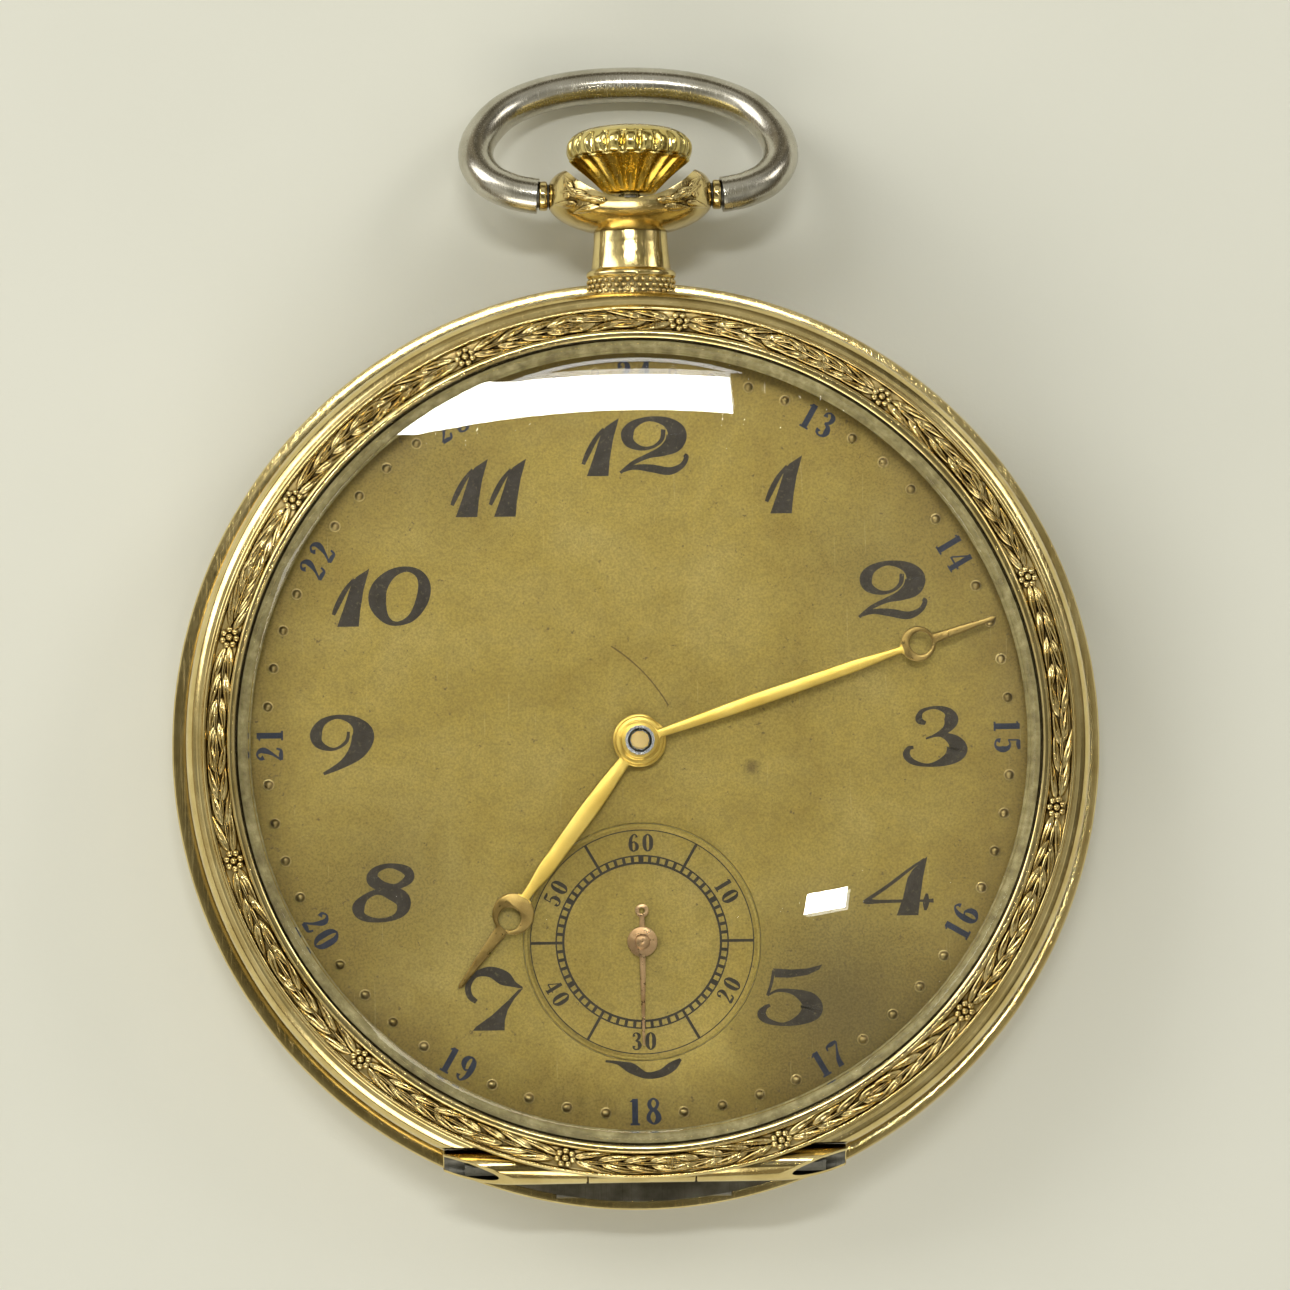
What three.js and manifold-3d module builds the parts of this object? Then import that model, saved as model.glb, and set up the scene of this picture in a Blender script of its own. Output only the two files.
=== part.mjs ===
// Open-face pocket watch, lying on its back with the dial up.
// Millimetres. +Z out of the dial, +Y towards 12 o'clock (the pendant), +X towards 3 o'clock.
// The origin is the centre of the flat on the case back.
import * as THREE from "three";
import { mergeVertices } from "three/addons/utils/BufferGeometryUtils.js";
import Module from "manifold-3d";

const wasm = await Module();
wasm.setup();

// ---- driving dimensions ----
const CASE_SEGMENTS = 40;
const RIM_R = 24.15;
const BACK_RIM_R = 25.1;
const BAND = { outerR: 24.15, innerR: 21.9, ledgeR: 21.5, bottom: 4.0, ledge: 5.1, top: 7.2 };
const DIAL = { r: 21.5, bottom: 7.0, top: 7.35 };
const SUB_DIAL = { y: -10.7, r: 6.3, bottom: 6.98, top: 7.16 };
const CRYSTAL = { r: 21.33, seat: 8.76, domeTop: 10.35 };
const STEM = { r: 0.55, z: 5.5, innerY: 13.1, outerY: 31.9 };
const BOW = { pivotY: 29.65, wireR: 0.96, halfWidth: 8.3, reach: 8.15, widestAt: 2.7, foldDeg: 33.7 };
const CROWN = { bottomY: 29.85, ribs: 24, ribDepth: 0.12 };
const HINGE = { y: -22.55, z: 7.2, r: 0.95, bore: 0.52, pinR: 0.46, endX: 10.15, endR: 24.6, midFrom: -3.1, midTo: 2.7 };
const BACK_HINGE = { y: -24.2, z: 3.98, r: 0.42, pinR: 0.2, endX: 4.8, midX: 1.6 };
const CHORD_Y = -23.5;
const TIME = { hourDeg: 215.5, minuteDeg: 71, secondDeg: 180 };

// plan positions of the movement's arbors
const AT = {
  centre: [0, 0],
  barrel: [-8.0, 5.3],
  third: [2.93, -5.58],
  fourth: [0, -10.7],
  escape: [5.38, -11.84],
  pallet: [7.6, -8.9],
  balance: [10.42, -3.63],
  crownWheel: [0, 12.0],
  minute: [0, 4.0],
  setting: [0, 10.2],
};

// heights of the movement's layers, counted from the case back
const PLATE = { r: 21.7, bottom: 5.2, top: 6.1 };
const BRIDGE = { bottom: 2.75, top: 3.4 };
const COCK = { bottom: 2.15, top: 2.6 };

const FEET = {
  barrel: [[-16.5, -4.5], [9.0, 13.6], [-5.5, 17.2]],
  train: [[-13.5, -8.5], [3.5, -16.6]],
  cock: [9.4, 4.3],
  pallet: [11.6, -12.2],
};

// ---- materials ----
function finish(hex, roughness, metalness, extra = {}) {
  return new THREE.MeshStandardMaterial({ color: hex, roughness, metalness, ...extra });
}

const MATERIALS = {
  gold_case: () => finish(0xcdb483, 0.22, 1),
  silver_bow: () => finish(0xc9c8c2, 0.2, 1),
  crown_gold: () => finish(0xc49a5c, 0.25, 1),
  crystal: () => finish(0xf4f6f4, 0.03, 0, { transparent: true, opacity: 0.25 }),
  dial_gilt: () => finish(0xa8964e, 0.45, 0.8),
  hand_gilt: () => finish(0xd8a964, 0.25, 1),
  hand_copper: () => finish(0xa5694a, 0.35, 1),
  nickel_plate: () => finish(0xb9b7ae, 0.35, 1),
  wheel_brass: () => finish(0xc8a553, 0.3, 1),
  steel: () => finish(0xa9abad, 0.25, 1),
  blued_steel: () => finish(0x24345c, 0.25, 1),
  ruby: () => finish(0xa01c34, 0.15, 0.1),
};

// ---- solids ----
function solid(geometry) {
  const bare = geometry.clone();
  bare.deleteAttribute("normal");
  bare.deleteAttribute("uv");
  const merged = mergeVertices(bare, 1e-4);
  return new wasm.Manifold(new wasm.Mesh({
    numProp: 3,
    vertProperties: new Float32Array(merged.attributes.position.array),
    triVerts: new Uint32Array(merged.index.array),
  }));
}

function geometryOf(manifold) {
  const mesh = manifold.getMesh();
  const points = new Float32Array(mesh.numVert * 3);
  for (let i = 0; i < mesh.numVert; i++) {
    points.set(mesh.vertProperties.subarray(i * mesh.numProp, i * mesh.numProp + 3), i * 3);
  }
  const geometry = new THREE.BufferGeometry();
  geometry.setAttribute("position", new THREE.BufferAttribute(points, 3));
  geometry.setIndex(new THREE.BufferAttribute(new Uint32Array(mesh.triVerts), 1));
  const flat = geometry.toNonIndexed();
  flat.computeVertexNormals();
  return flat;
}

function join(...parts) {
  return parts.reduce((sum, part) => sum.add(part));
}

function cut(body, ...tools) {
  return tools.reduce((rest, tool) => rest.subtract(tool), body);
}

// ---- shapes ----
// A closed profile of [radius, height] points, counter-clockwise, turned about the Z axis.
function turned(profile, segments = CASE_SEGMENTS) {
  const closed = profile[0][0] === 0 && profile[profile.length - 1][0] === 0
    ? profile
    : [...profile, profile[0]];
  const points = closed.map(([r, z]) => new THREE.Vector2(r, z));
  return new THREE.LatheGeometry(points, segments).rotateX(Math.PI / 2);
}

// The same, about the Y axis at the stem's height: profile points are [radius, y].
function turnedOnStem(profile, segments) {
  const closed = profile[0][0] === 0 && profile[profile.length - 1][0] === 0
    ? profile
    : [...profile, profile[0]];
  const points = closed.map(([r, y]) => new THREE.Vector2(r, y));
  return new THREE.LatheGeometry(points, segments).translate(0, 0, STEM.z);
}

function cylinder(x, y, r, z0, z1, segments = 12) {
  return new THREE.CylinderGeometry(r, r, z1 - z0, segments)
    .rotateX(Math.PI / 2)
    .translate(x, y, (z0 + z1) / 2);
}

// A cylinder along X with its axis at (y, z).
function rod(x0, x1, y, z, r, segments = 16) {
  return new THREE.CylinderGeometry(r, r, x1 - x0, segments)
    .rotateZ(Math.PI / 2)
    .translate((x0 + x1) / 2, y, z);
}

function box(x0, x1, y0, y1, z0, z1) {
  return new THREE.BoxGeometry(x1 - x0, y1 - y0, z1 - z0)
    .translate((x0 + x1) / 2, (y0 + y1) / 2, (z0 + z1) / 2);
}

function circle(x, y, r, n) {
  return Array.from({ length: n }, (_, i) => {
    const a = (i / n) * 2 * Math.PI;
    return [x + r * Math.cos(a), y + r * Math.sin(a)];
  });
}

function arc(x, y, r, fromDeg, toDeg, n) {
  return Array.from({ length: n + 1 }, (_, i) => {
    const a = THREE.MathUtils.degToRad(fromDeg + ((toDeg - fromDeg) * i) / n);
    return [x + r * Math.cos(a), y + r * Math.sin(a)];
  });
}

// A flat plate between two heights, from an outline and the outlines of its holes.
function plate(outline, z0, z1, holes = []) {
  const shape = new THREE.Shape(outline.map(([x, y]) => new THREE.Vector2(x, y)));
  for (const hole of holes) {
    shape.holes.push(new THREE.Path(hole.map(([x, y]) => new THREE.Vector2(x, y))));
  }
  return new THREE.ExtrudeGeometry(shape, { depth: z1 - z0, bevelEnabled: false })
    .translate(0, 0, z0);
}

// The outline round two circles, for arms, cocks and levers.
function link([x0, y0], r0, [x1, y1], r1, n = 8) {
  const along = THREE.MathUtils.radToDeg(Math.atan2(y1 - y0, x1 - x0));
  return [
    ...arc(x0, y0, r0, along + 90, along + 270, n),
    ...arc(x1, y1, r1, along - 90, along + 90, n),
  ];
}

// A toothed outline with one tip and one root point to each tooth.
function toothed([x, y], teeth, tipR, rootR, turn = 0) {
  return Array.from({ length: teeth * 2 }, (_, i) => {
    const a = ((i / 2 + turn) / teeth) * 2 * Math.PI;
    const r = i % 2 ? rootR : tipR;
    return [x + r * Math.cos(a), y + r * Math.sin(a)];
  });
}

// The gaps between a wheel's spokes.
function crossings([x, y], spokes, innerR, outerR, armHalfWidth, n = 4) {
  return Array.from({ length: spokes }, (_, i) => {
    const from = (i * 360) / spokes;
    const to = from + 360 / spokes;
    const outerTrim = THREE.MathUtils.radToDeg(Math.asin(armHalfWidth / outerR));
    const innerTrim = THREE.MathUtils.radToDeg(Math.asin(armHalfWidth / innerR));
    return [
      ...arc(x, y, outerR, from + outerTrim, to - outerTrim, n),
      ...arc(x, y, innerR, to - innerTrim, from + innerTrim, 1),
    ];
  });
}

// ---- the assembly ----
const watch = new THREE.Group();
watch.name = "pocket_watch";

function add(name, material, shape) {
  const geometry = shape.isBufferGeometry ? shape : geometryOf(shape);
  const mesh = new THREE.Mesh(geometry, MATERIALS[material]());
  mesh.name = name;
  watch.add(mesh);
  return mesh;
}

// ---- case ----
const bandRing = solid(turned([
  [BAND.ledgeR, BAND.bottom],
  [BAND.outerR - 0.2, BAND.bottom],
  [BAND.outerR, BAND.bottom + 0.25],
  [BAND.outerR, BAND.top - 0.25],
  [BAND.outerR - 0.2, BAND.top],
  [BAND.innerR, BAND.top],
  [BAND.innerR, BAND.ledge],
  [BAND.ledgeR, BAND.ledge],
]));
const outsideChord = solid(box(-30, 30, -30, CHORD_Y, -5, 20));
const roundEnds = solid(cylinder(0, 0, HINGE.endR, 0, 12, CASE_SEGMENTS));
const sideKnuckles = join(
  solid(rod(-HINGE.endX - 0.8, HINGE.midFrom, HINGE.y, HINGE.z, HINGE.r)),
  solid(rod(HINGE.midTo, HINGE.endX + 0.8, HINGE.y, HINGE.z, HINGE.r)),
).intersect(roundEnds);
const hingeBore = solid(rod(-13, 13, HINGE.y, HINGE.z, HINGE.bore));
const backLug = join(
  solid(rod(-BACK_HINGE.midX, BACK_HINGE.midX, BACK_HINGE.y, BACK_HINGE.z, BACK_HINGE.r)),
  solid(box(-BACK_HINGE.midX, BACK_HINGE.midX, BACK_HINGE.y, CHORD_Y + 0.4, 4.02, 4.4)),
);
add("case_band", "gold_case", cut(
  join(
    cut(
      bandRing,
      outsideChord,
      solid(rod(HINGE.midFrom - 0.05, HINGE.midTo + 0.05, HINGE.y, HINGE.z, HINGE.r + 0.06)),
    ),
    sideKnuckles,
    backLug,
  ),
  hingeBore,
  solid(rod(-3, 3, BACK_HINGE.y, BACK_HINGE.z, BACK_HINGE.pinR + 0.05, 8)),
  solid(turnedOnStem([[0, 20], [0.75, 20], [0.75, 26], [0, 26]], 12)),
));

const bezelRing = solid(turned([
  [21.7, 7.45],
  [21.95, 7.25],
  [RIM_R - 0.2, 7.25],
  [RIM_R, 7.45],
  [RIM_R - 0.05, 8.1],
  [23.8, 8.55],
  [23.2, 8.8],
  [23.0, 8.72],
  [21.95, 9.05],
  [21.4, 9.2],
  [21.4, 8.72],
  [20.95, 8.72],
  [20.95, 8.4],
  [21.7, 8.2],
]));
const bezelTube = solid(rod(HINGE.midFrom + 0.05, HINGE.midTo - 0.05, HINGE.y, HINGE.z, HINGE.r));
const bezelWeb = solid(box(HINGE.midFrom + 0.05, HINGE.midTo - 0.05, -22.3, -21.3, 7.6, 8.05));
add("bezel", "gold_case", cut(
  join(
    cut(bezelRing, solid(box(-HINGE.endX - 0.9, HINGE.endX + 0.9, -30, -21.5, 0, 20))),
    bezelTube,
    bezelWeb,
  ),
  hingeBore,
));

add("crystal", "crystal", turned([
  [0, CRYSTAL.domeTop - 0.75],
  [10, CRYSTAL.domeTop - 0.9],
  [16.5, CRYSTAL.domeTop - 1.25],
  [20.8, CRYSTAL.seat],
  [CRYSTAL.r, CRYSTAL.seat],
  [CRYSTAL.r, CRYSTAL.seat + 0.3],
  [20.75, CRYSTAL.seat + 0.75],
  [16.5, CRYSTAL.domeTop - 0.45],
  [10, CRYSTAL.domeTop - 0.12],
  [0, CRYSTAL.domeTop],
], 36));

const backBowl = solid(turned([
  [0, 0],
  [10, 0],
  [15, 0.35],
  [19, 1.05],
  [22, 2.1],
  [23.9, 3.1],
  [BACK_RIM_R, 3.6],
  [BACK_RIM_R, 3.95],
  [24.1, 3.95],
  [23.4, 3.55],
  [21.8, 2.65],
  [18.8, 1.55],
  [15, 0.85],
  [10, 0.5],
  [0, 0.5],
]));
const backKnuckles = join(
  solid(rod(-BACK_HINGE.endX, -BACK_HINGE.midX - 0.05, BACK_HINGE.y, BACK_HINGE.z, BACK_HINGE.r)),
  solid(rod(BACK_HINGE.midX + 0.05, BACK_HINGE.endX, BACK_HINGE.y, BACK_HINGE.z, BACK_HINGE.r)),
);
add("back_cover", "gold_case", cut(
  join(
    cut(backBowl, solid(rod(
      -BACK_HINGE.midX - 0.05,
      BACK_HINGE.midX + 0.05,
      BACK_HINGE.y,
      BACK_HINGE.z,
      BACK_HINGE.r + 0.05,
    ))),
    backKnuckles,
  ),
  solid(rod(-6, 6, BACK_HINGE.y, BACK_HINGE.z, BACK_HINGE.pinR + 0.05, 8)),
));

add("cuvette", "gold_case", turned([
  [0, 1.35],
  [17, 1.45],
  [20.2, 2.25],
  [21.9, 3.1],
  [22.3, 3.5],
  [22.9, 3.55],
  [22.9, 3.9],
  [21.9, 3.9],
  [21.5, 3.35],
  [20.0, 2.55],
  [17, 1.75],
  [0, 1.65],
], 32));

add("bezel_hinge_pin", "steel", rod(-9.6, 9.6, HINGE.y, HINGE.z, HINGE.pinR, 10));
add("back_hinge_pin", "steel", rod(-4.7, 4.7, BACK_HINGE.y, BACK_HINGE.z, BACK_HINGE.pinR, 8));

// ---- pendant, bow, crown and stem ----
const neck = turnedOnStem([
  [0, 23.2],
  [2.3, 23.2],
  [2.3, 24.3],
  [2.15, 24.45],
  [2.3, 24.6],
  [2.3, 25.1],
  [2.1, 25.3],
  [1.94, 26.8],
  [1.94, 28.1],
  [0, 28.1],
], 20);
neck.translate(0, 0, -STEM.z).scale(1, 1, 0.66).translate(0, 0, STEM.z);
const ball = turnedOnStem([
  [0, 27.6],
  [1.97, 27.6],
  [3.4, 27.95],
  [4.25, 28.55],
  [4.52, 29.35],
  [4.42, 30.1],
  [4.05, 30.7],
  [3.4, 31.0],
  [0, 31.0],
], 24);
ball.translate(0, 0, -STEM.z).scale(1, 1, 0.76).translate(0, 0, STEM.z);
add("pendant", "gold_case", cut(
  join(solid(neck), solid(ball)),
  solid(cylinder(0, 0, BAND.outerR + 0.08, 0, 12, 60)),
  solid(cylinder(0, 34.4, 4.9, -5, 15, 40)),
  solid(turnedOnStem([[0, 20], [0.75, 20], [0.75, 34], [0, 34]], 12)),
  solid(rod(-6, -3.2, BOW.pivotY, STEM.z, 0.72, 12)),
  solid(rod(3.2, 6, BOW.pivotY, STEM.z, 0.72, 12)),
));

// The bow is drawn upright in the XY plane with its pivot line at y = 0, then folded back.
const bowCurve = new THREE.CatmullRomCurve3([
  [-4.98, 0],
  [-6.4, 0.3],
  [-7.75, 1.25],
  [-BOW.halfWidth, BOW.widestAt],
  [-7.9, 4.8],
  [-6.4, 6.85],
  [-3.6, 7.95],
  [0, BOW.reach],
  [3.6, 7.95],
  [6.4, 6.85],
  [7.9, 4.8],
  [BOW.halfWidth, BOW.widestAt],
  [7.75, 1.25],
  [6.4, 0.3],
  [4.98, 0],
].map(([x, y]) => new THREE.Vector3(x, y, 0)));
const bowSection = new THREE.Shape(circle(0, 0, BOW.wireR, 8).map(([x, y]) => new THREE.Vector2(x, y)));
const bowWire = new THREE.ExtrudeGeometry(bowSection, {
  steps: 34,
  extrudePath: bowCurve,
  bevelEnabled: false,
});
const bowBody = join(
  solid(bowWire),
  solid(rod(-5.6, -3.3, 0, 0, 0.65, 12)),
  solid(rod(3.3, 5.6, 0, 0, 0.65, 12)),
);
const bow = add("bow", "silver_bow", bowBody);
bow.position.set(0, BOW.pivotY, STEM.z);
bow.rotation.x = THREE.MathUtils.degToRad(-BOW.foldDeg);

// The crown is an onion: a lathe profile whose radius is fluted round the stem.
const crownShape = turnedOnStem([
  [0, CROWN.bottomY],
  [1.2, CROWN.bottomY],
  [2.05, 30.5],
  [2.85, 31.15],
  [3.32, 31.65],
  [3.4, 32.1],
  [3.25, 32.7],
  [2.5, 33.15],
  [0, 33.37],
], CROWN.ribs * 2);
const crownPoints = crownShape.attributes.position;
for (let i = 0; i < crownPoints.count; i++) {
  const x = crownPoints.getX(i);
  const z = crownPoints.getZ(i) - STEM.z;
  const r = Math.hypot(x, z);
  if (r > 1.9 && crownPoints.getY(i) < 33) {
    const wave = Math.cos(Math.atan2(z, x) * CROWN.ribs);
    const scale = (r - (wave < 0 ? CROWN.ribDepth : 0)) / r;
    crownPoints.setX(i, x * scale);
    crownPoints.setZ(i, STEM.z + z * scale);
  }
}
add("crown", "crown_gold", cut(
  solid(crownShape),
  solid(turnedOnStem([[0, 29], [STEM.r + 0.03, 29], [STEM.r + 0.03, 32], [0, 32]], 10)),
));
add("stem", "steel", turnedOnStem([
  [0, STEM.innerY],
  [STEM.r, STEM.innerY],
  [STEM.r, STEM.outerY],
  [0, STEM.outerY],
], 10));
add("stem_collar", "steel", turnedOnStem([
  [STEM.r + 0.04, 18.4],
  [1.05, 18.4],
  [1.05, 19.2],
  [STEM.r + 0.04, 19.2],
], 12));

// ---- dial ----
add("dial", "dial_gilt", join(
  solid(plate(
    circle(0, 0, DIAL.r, 60),
    DIAL.bottom,
    DIAL.top,
    [circle(0, 0, 1.25, 16), circle(0, SUB_DIAL.y, SUB_DIAL.r + 0.04, 36)],
  )),
  solid(cylinder(-13, 13, 0.4, 5.6, DIAL.bottom + 0.1, 8)),
  solid(cylinder(14, -11.5, 0.4, 5.6, DIAL.bottom + 0.1, 8)),
));
add("seconds_dial", "dial_gilt", plate(
  circle(0, SUB_DIAL.y, SUB_DIAL.r, 36),
  SUB_DIAL.bottom,
  SUB_DIAL.top,
  [circle(0, SUB_DIAL.y, 0.35, 10)],
));

// ---- hands ----
// Each hand is drawn pointing to 12 from its own arbor.
function breguetHand({ bossR, boreR, bodyHalf, moonAt, moonR, holeR, holeShift, tip, z0, z1 }) {
  const leaf = [
    [-0.16, bossR - 0.12],
    [0.16, bossR - 0.12],
    [bodyHalf, bossR + (moonAt - bossR) * 0.55],
    [0.2, moonAt - moonR + 0.15],
    [-0.2, moonAt - moonR + 0.15],
    [-bodyHalf, bossR + (moonAt - bossR) * 0.55],
  ];
  const point = [
    [-0.3, moonAt + moonR - 0.12],
    [0.3, moonAt + moonR - 0.12],
    [0.07, tip],
    [-0.07, tip],
  ];
  return join(
    solid(plate(circle(0, 0, bossR, 16), z0, z1, [circle(0, 0, boreR, 12)])),
    solid(plate(leaf, z0, z1)),
    solid(plate(circle(0, moonAt, moonR, 16), z0, z1, [circle(0, moonAt + holeShift, holeR, 12)])),
    solid(plate(point, z0, z1)),
  );
}

const hourHand = add("hour_hand", "hand_gilt", breguetHand({
  bossR: 1.42, boreR: 1.2, bodyHalf: 0.43, moonAt: 11.4, moonR: 1.12,
  holeR: 0.6, holeShift: 0.36, tip: 16.3, z0: 7.85, z1: 8.0,
}));
hourHand.rotation.z = -THREE.MathUtils.degToRad(TIME.hourDeg);
const minuteHand = add("minute_hand", "hand_gilt", breguetHand({
  bossR: 1.09, boreR: 0.87, bodyHalf: 0.33, moonAt: 15.7, moonR: 0.94,
  holeR: 0.62, holeShift: 0.18, tip: 20.1, z0: 8.25, z1: 8.4,
}));
minuteHand.rotation.z = -THREE.MathUtils.degToRad(TIME.minuteDeg);
const secondsHand = add("seconds_hand", "hand_copper", join(
  solid(plate(circle(0, 0, 0.8, 16), 7.45, 7.56, [circle(0, 0, 0.2, 8)])),
  solid(plate([[-0.13, 0.6], [0.13, 0.6], [0.05, 5.5], [-0.05, 5.5]], 7.45, 7.56)),
  solid(plate([[-0.1, -1.6], [0.1, -1.6], [0.1, -0.6], [-0.1, -0.6]], 7.45, 7.56)),
  solid(plate(circle(0, -1.65, 0.2, 8), 7.45, 7.56)),
  solid(plate(circle(0, 0, 0.32, 10), 7.2, 7.5, [circle(0, 0, 0.2, 8)])),
));
secondsHand.position.y = SUB_DIAL.y;
secondsHand.rotation.z = -THREE.MathUtils.degToRad(TIME.secondDeg);

// ---- motion work, between the main plate and the dial ----
add("cannon_pinion", "steel", join(
  solid(plate(toothed(AT.centre, 8, 1.08, 0.84), 6.2, 6.5, [circle(0, 0, 0.51, 10)])),
  solid(plate(circle(0, 0, 0.8, 14), 6.4, 8.55, [circle(0, 0, 0.51, 10)])),
));
add("hour_wheel", "wheel_brass", join(
  solid(plate(toothed(AT.centre, 32, 3.28, 3.05, 0.5), 6.65, 6.85, [circle(0, 0, 0.87, 14)])),
  solid(plate(circle(0, 0, 1.13, 14), 6.7, 8.0, [circle(0, 0, 0.87, 14)])),
));
add("minute_wheel", "wheel_brass", join(
  solid(plate(toothed(AT.minute, 24, 3.05, 2.83, 0.5), 6.2, 6.45, [circle(...AT.minute, 0.3, 8)])),
  solid(plate(toothed(AT.minute, 8, 0.87, 0.66, 0.5), 6.4, 6.9, [circle(...AT.minute, 0.3, 8)])),
));
add("setting_wheel", "steel", plate(
  toothed(AT.setting, 26, 3.23, 3.03),
  6.2,
  6.45,
  [circle(...AT.setting, 0.5, 8)],
));

// ---- plate and bridges ----
const plateHoles = [
  [...AT.centre, 0.55],
  [...AT.fourth, 0.3],
  [...AT.barrel, 0.5],
  [...AT.third, 0.2],
  [...AT.escape, 0.2],
  [...AT.pallet, 0.2],
  [...AT.balance, 0.2],
  [-13, 13, 0.48],
  [14, -11.5, 0.48],
];
add("main_plate", "nickel_plate", cut(
  join(
    solid(plate(
      circle(0, 0, PLATE.r, CASE_SEGMENTS),
      PLATE.bottom,
      PLATE.top,
      plateHoles.map(([x, y, r]) => circle(x, y, r, 8)),
    )),
    solid(cylinder(...AT.crownWheel, 0.9, 2.3, PLATE.bottom + 0.1, 12)),
    solid(cylinder(...AT.minute, 0.25, PLATE.top - 0.1, 6.9, 8)),
    solid(cylinder(...AT.setting, 0.44, PLATE.top - 0.1, 6.7, 8)),
  ),
  solid(box(-1.55, 1.55, 12.98, 30, 3, 8)),
));

function bridge(outline, feet, holes, { bottom, top }) {
  const screwHoles = feet.map(([x, y]) => circle(x, y, 0.42, 8));
  return join(
    solid(plate(outline, bottom, top, [...holes, ...screwHoles])),
    ...feet.map(([x, y]) => solid(plate(
      circle(x, y, 1.3, 12),
      top - 0.1,
      PLATE.bottom - 0.03,
      [circle(x, y, 0.42, 8)],
    ))),
  );
}

add("barrel_bridge", "nickel_plate", bridge(
  [
    ...arc(0, 0, 19.3, 30, 200, 24),
    [-11.5, -5.2],
    [-6.0, -2.6],
    [-3.6, -0.4],
    [-2.4, 2.6],
    [-0.2, 3.4],
    [3.2, 4.6],
    [6.6, 7.0],
    [10.5, 8.6],
  ],
  FEET.barrel,
  [circle(...AT.barrel, 0.95, 12), circle(...AT.crownWheel, 5.15, 24)],
  BRIDGE,
));
add("train_bridge", "nickel_plate", bridge(
  [
    [-1.6, 1.5],
    [-4.2, -2.2],
    [-9.5, -5.9],
    ...arc(0, 0, 19.05, 207, 275, 10),
    [6.3, -15.2],
    [7.6, -10.9],
    ...arc(...AT.balance, 6.75, 245, 165, 6),
    [1.9, 1.4],
    [0, 2.3],
  ],
  FEET.train,
  [
    circle(...AT.centre, 0.7, 10),
    circle(...AT.third, 0.7, 10),
    circle(...AT.fourth, 0.7, 10),
    circle(...AT.escape, 0.7, 10),
  ],
  BRIDGE,
));
add("balance_cock", "nickel_plate", join(
  solid(plate(
    link(FEET.cock, 1.6, AT.balance, 1.3),
    COCK.bottom,
    COCK.top,
    [circle(...FEET.cock, 0.42, 8), circle(...AT.balance, 0.6, 10)],
  )),
  solid(plate(
    circle(...FEET.cock, 1.4, 12),
    COCK.top - 0.1,
    PLATE.bottom - 0.03,
    [circle(...FEET.cock, 0.42, 8)],
  )),
));
add("pallet_cock", "nickel_plate", join(
  solid(plate(
    link(FEET.pallet, 1.2, AT.pallet, 0.7),
    3.45,
    3.68,
    [circle(...FEET.pallet, 0.42, 8), circle(...AT.pallet, 0.16, 8)],
  )),
  solid(plate(
    circle(...FEET.pallet, 1.1, 12),
    3.6,
    PLATE.bottom - 0.03,
    [circle(...FEET.pallet, 0.42, 8)],
  )),
));

// ---- going train ----
const barrelTop = 4.2;
const barrelBottom = 5.15;
add("barrel", "wheel_brass", cut(
  join(
    solid(plate(circle(...AT.barrel, 7.8, 30), barrelTop, barrelBottom)),
    solid(plate(toothed(AT.barrel, 60, 8.31, 8.08), 4.8, barrelBottom)),
  ),
  solid(cylinder(...AT.barrel, 7.4, barrelTop - 1, 4.95, 28)),
  solid(cylinder(...AT.barrel, 0.62, 4, 6, 10)),
));
add("barrel_cover", "wheel_brass", plate(
  circle(...AT.barrel, 7.3, 28),
  4.22,
  4.36,
  [circle(...AT.barrel, 0.95, 10)],
));
add("barrel_arbor", "steel", join(
  solid(cylinder(...AT.barrel, 0.42, 2.25, 5.9, 10)),
  solid(cylinder(...AT.barrel, 0.88, 2.72, 4.9, 12)),
));

// The mainspring is a coiled ribbon between the arbor and the drum's wall.
function spiral([x, y], fromR, toR, turns, width, stepsPerTurn) {
  const steps = Math.round(turns * stepsPerTurn);
  const side = (offset) => Array.from({ length: steps + 1 }, (_, i) => {
    const a = (i / stepsPerTurn) * 2 * Math.PI;
    const r = fromR + ((toR - fromR) * i) / steps + offset;
    return [x + r * Math.cos(a), y + r * Math.sin(a)];
  });
  return [...side(width / 2), ...side(-width / 2).reverse()];
}

add("mainspring", "steel", plate(spiral(AT.barrel, 1.15, 7.1, 4, 0.4, 12), 4.42, 4.9));

function trainWheel({ at, teeth, r, spokes, z0, z1, pinion, arborTop, arborEnd, pivotEnd }) {
  const rim = r - 0.75;
  const parts = [
    solid(plate(toothed(at, teeth, r + 0.11, r - 0.12), z0, z1, crossings(at, spokes, 1.15, rim, 0.22, 3))),
    solid(cylinder(...at, 0.34, arborTop, arborEnd, 8)),
    solid(cylinder(...at, 0.14, BRIDGE.bottom + 0.15, pivotEnd, 8)),
  ];
  if (pinion) {
    parts.push(solid(plate(
      toothed(at, pinion.leaves, pinion.r + 0.1, pinion.r - 0.14, 0.5),
      pinion.z0,
      pinion.z1,
    )));
  }
  return join(...parts);
}

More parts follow.
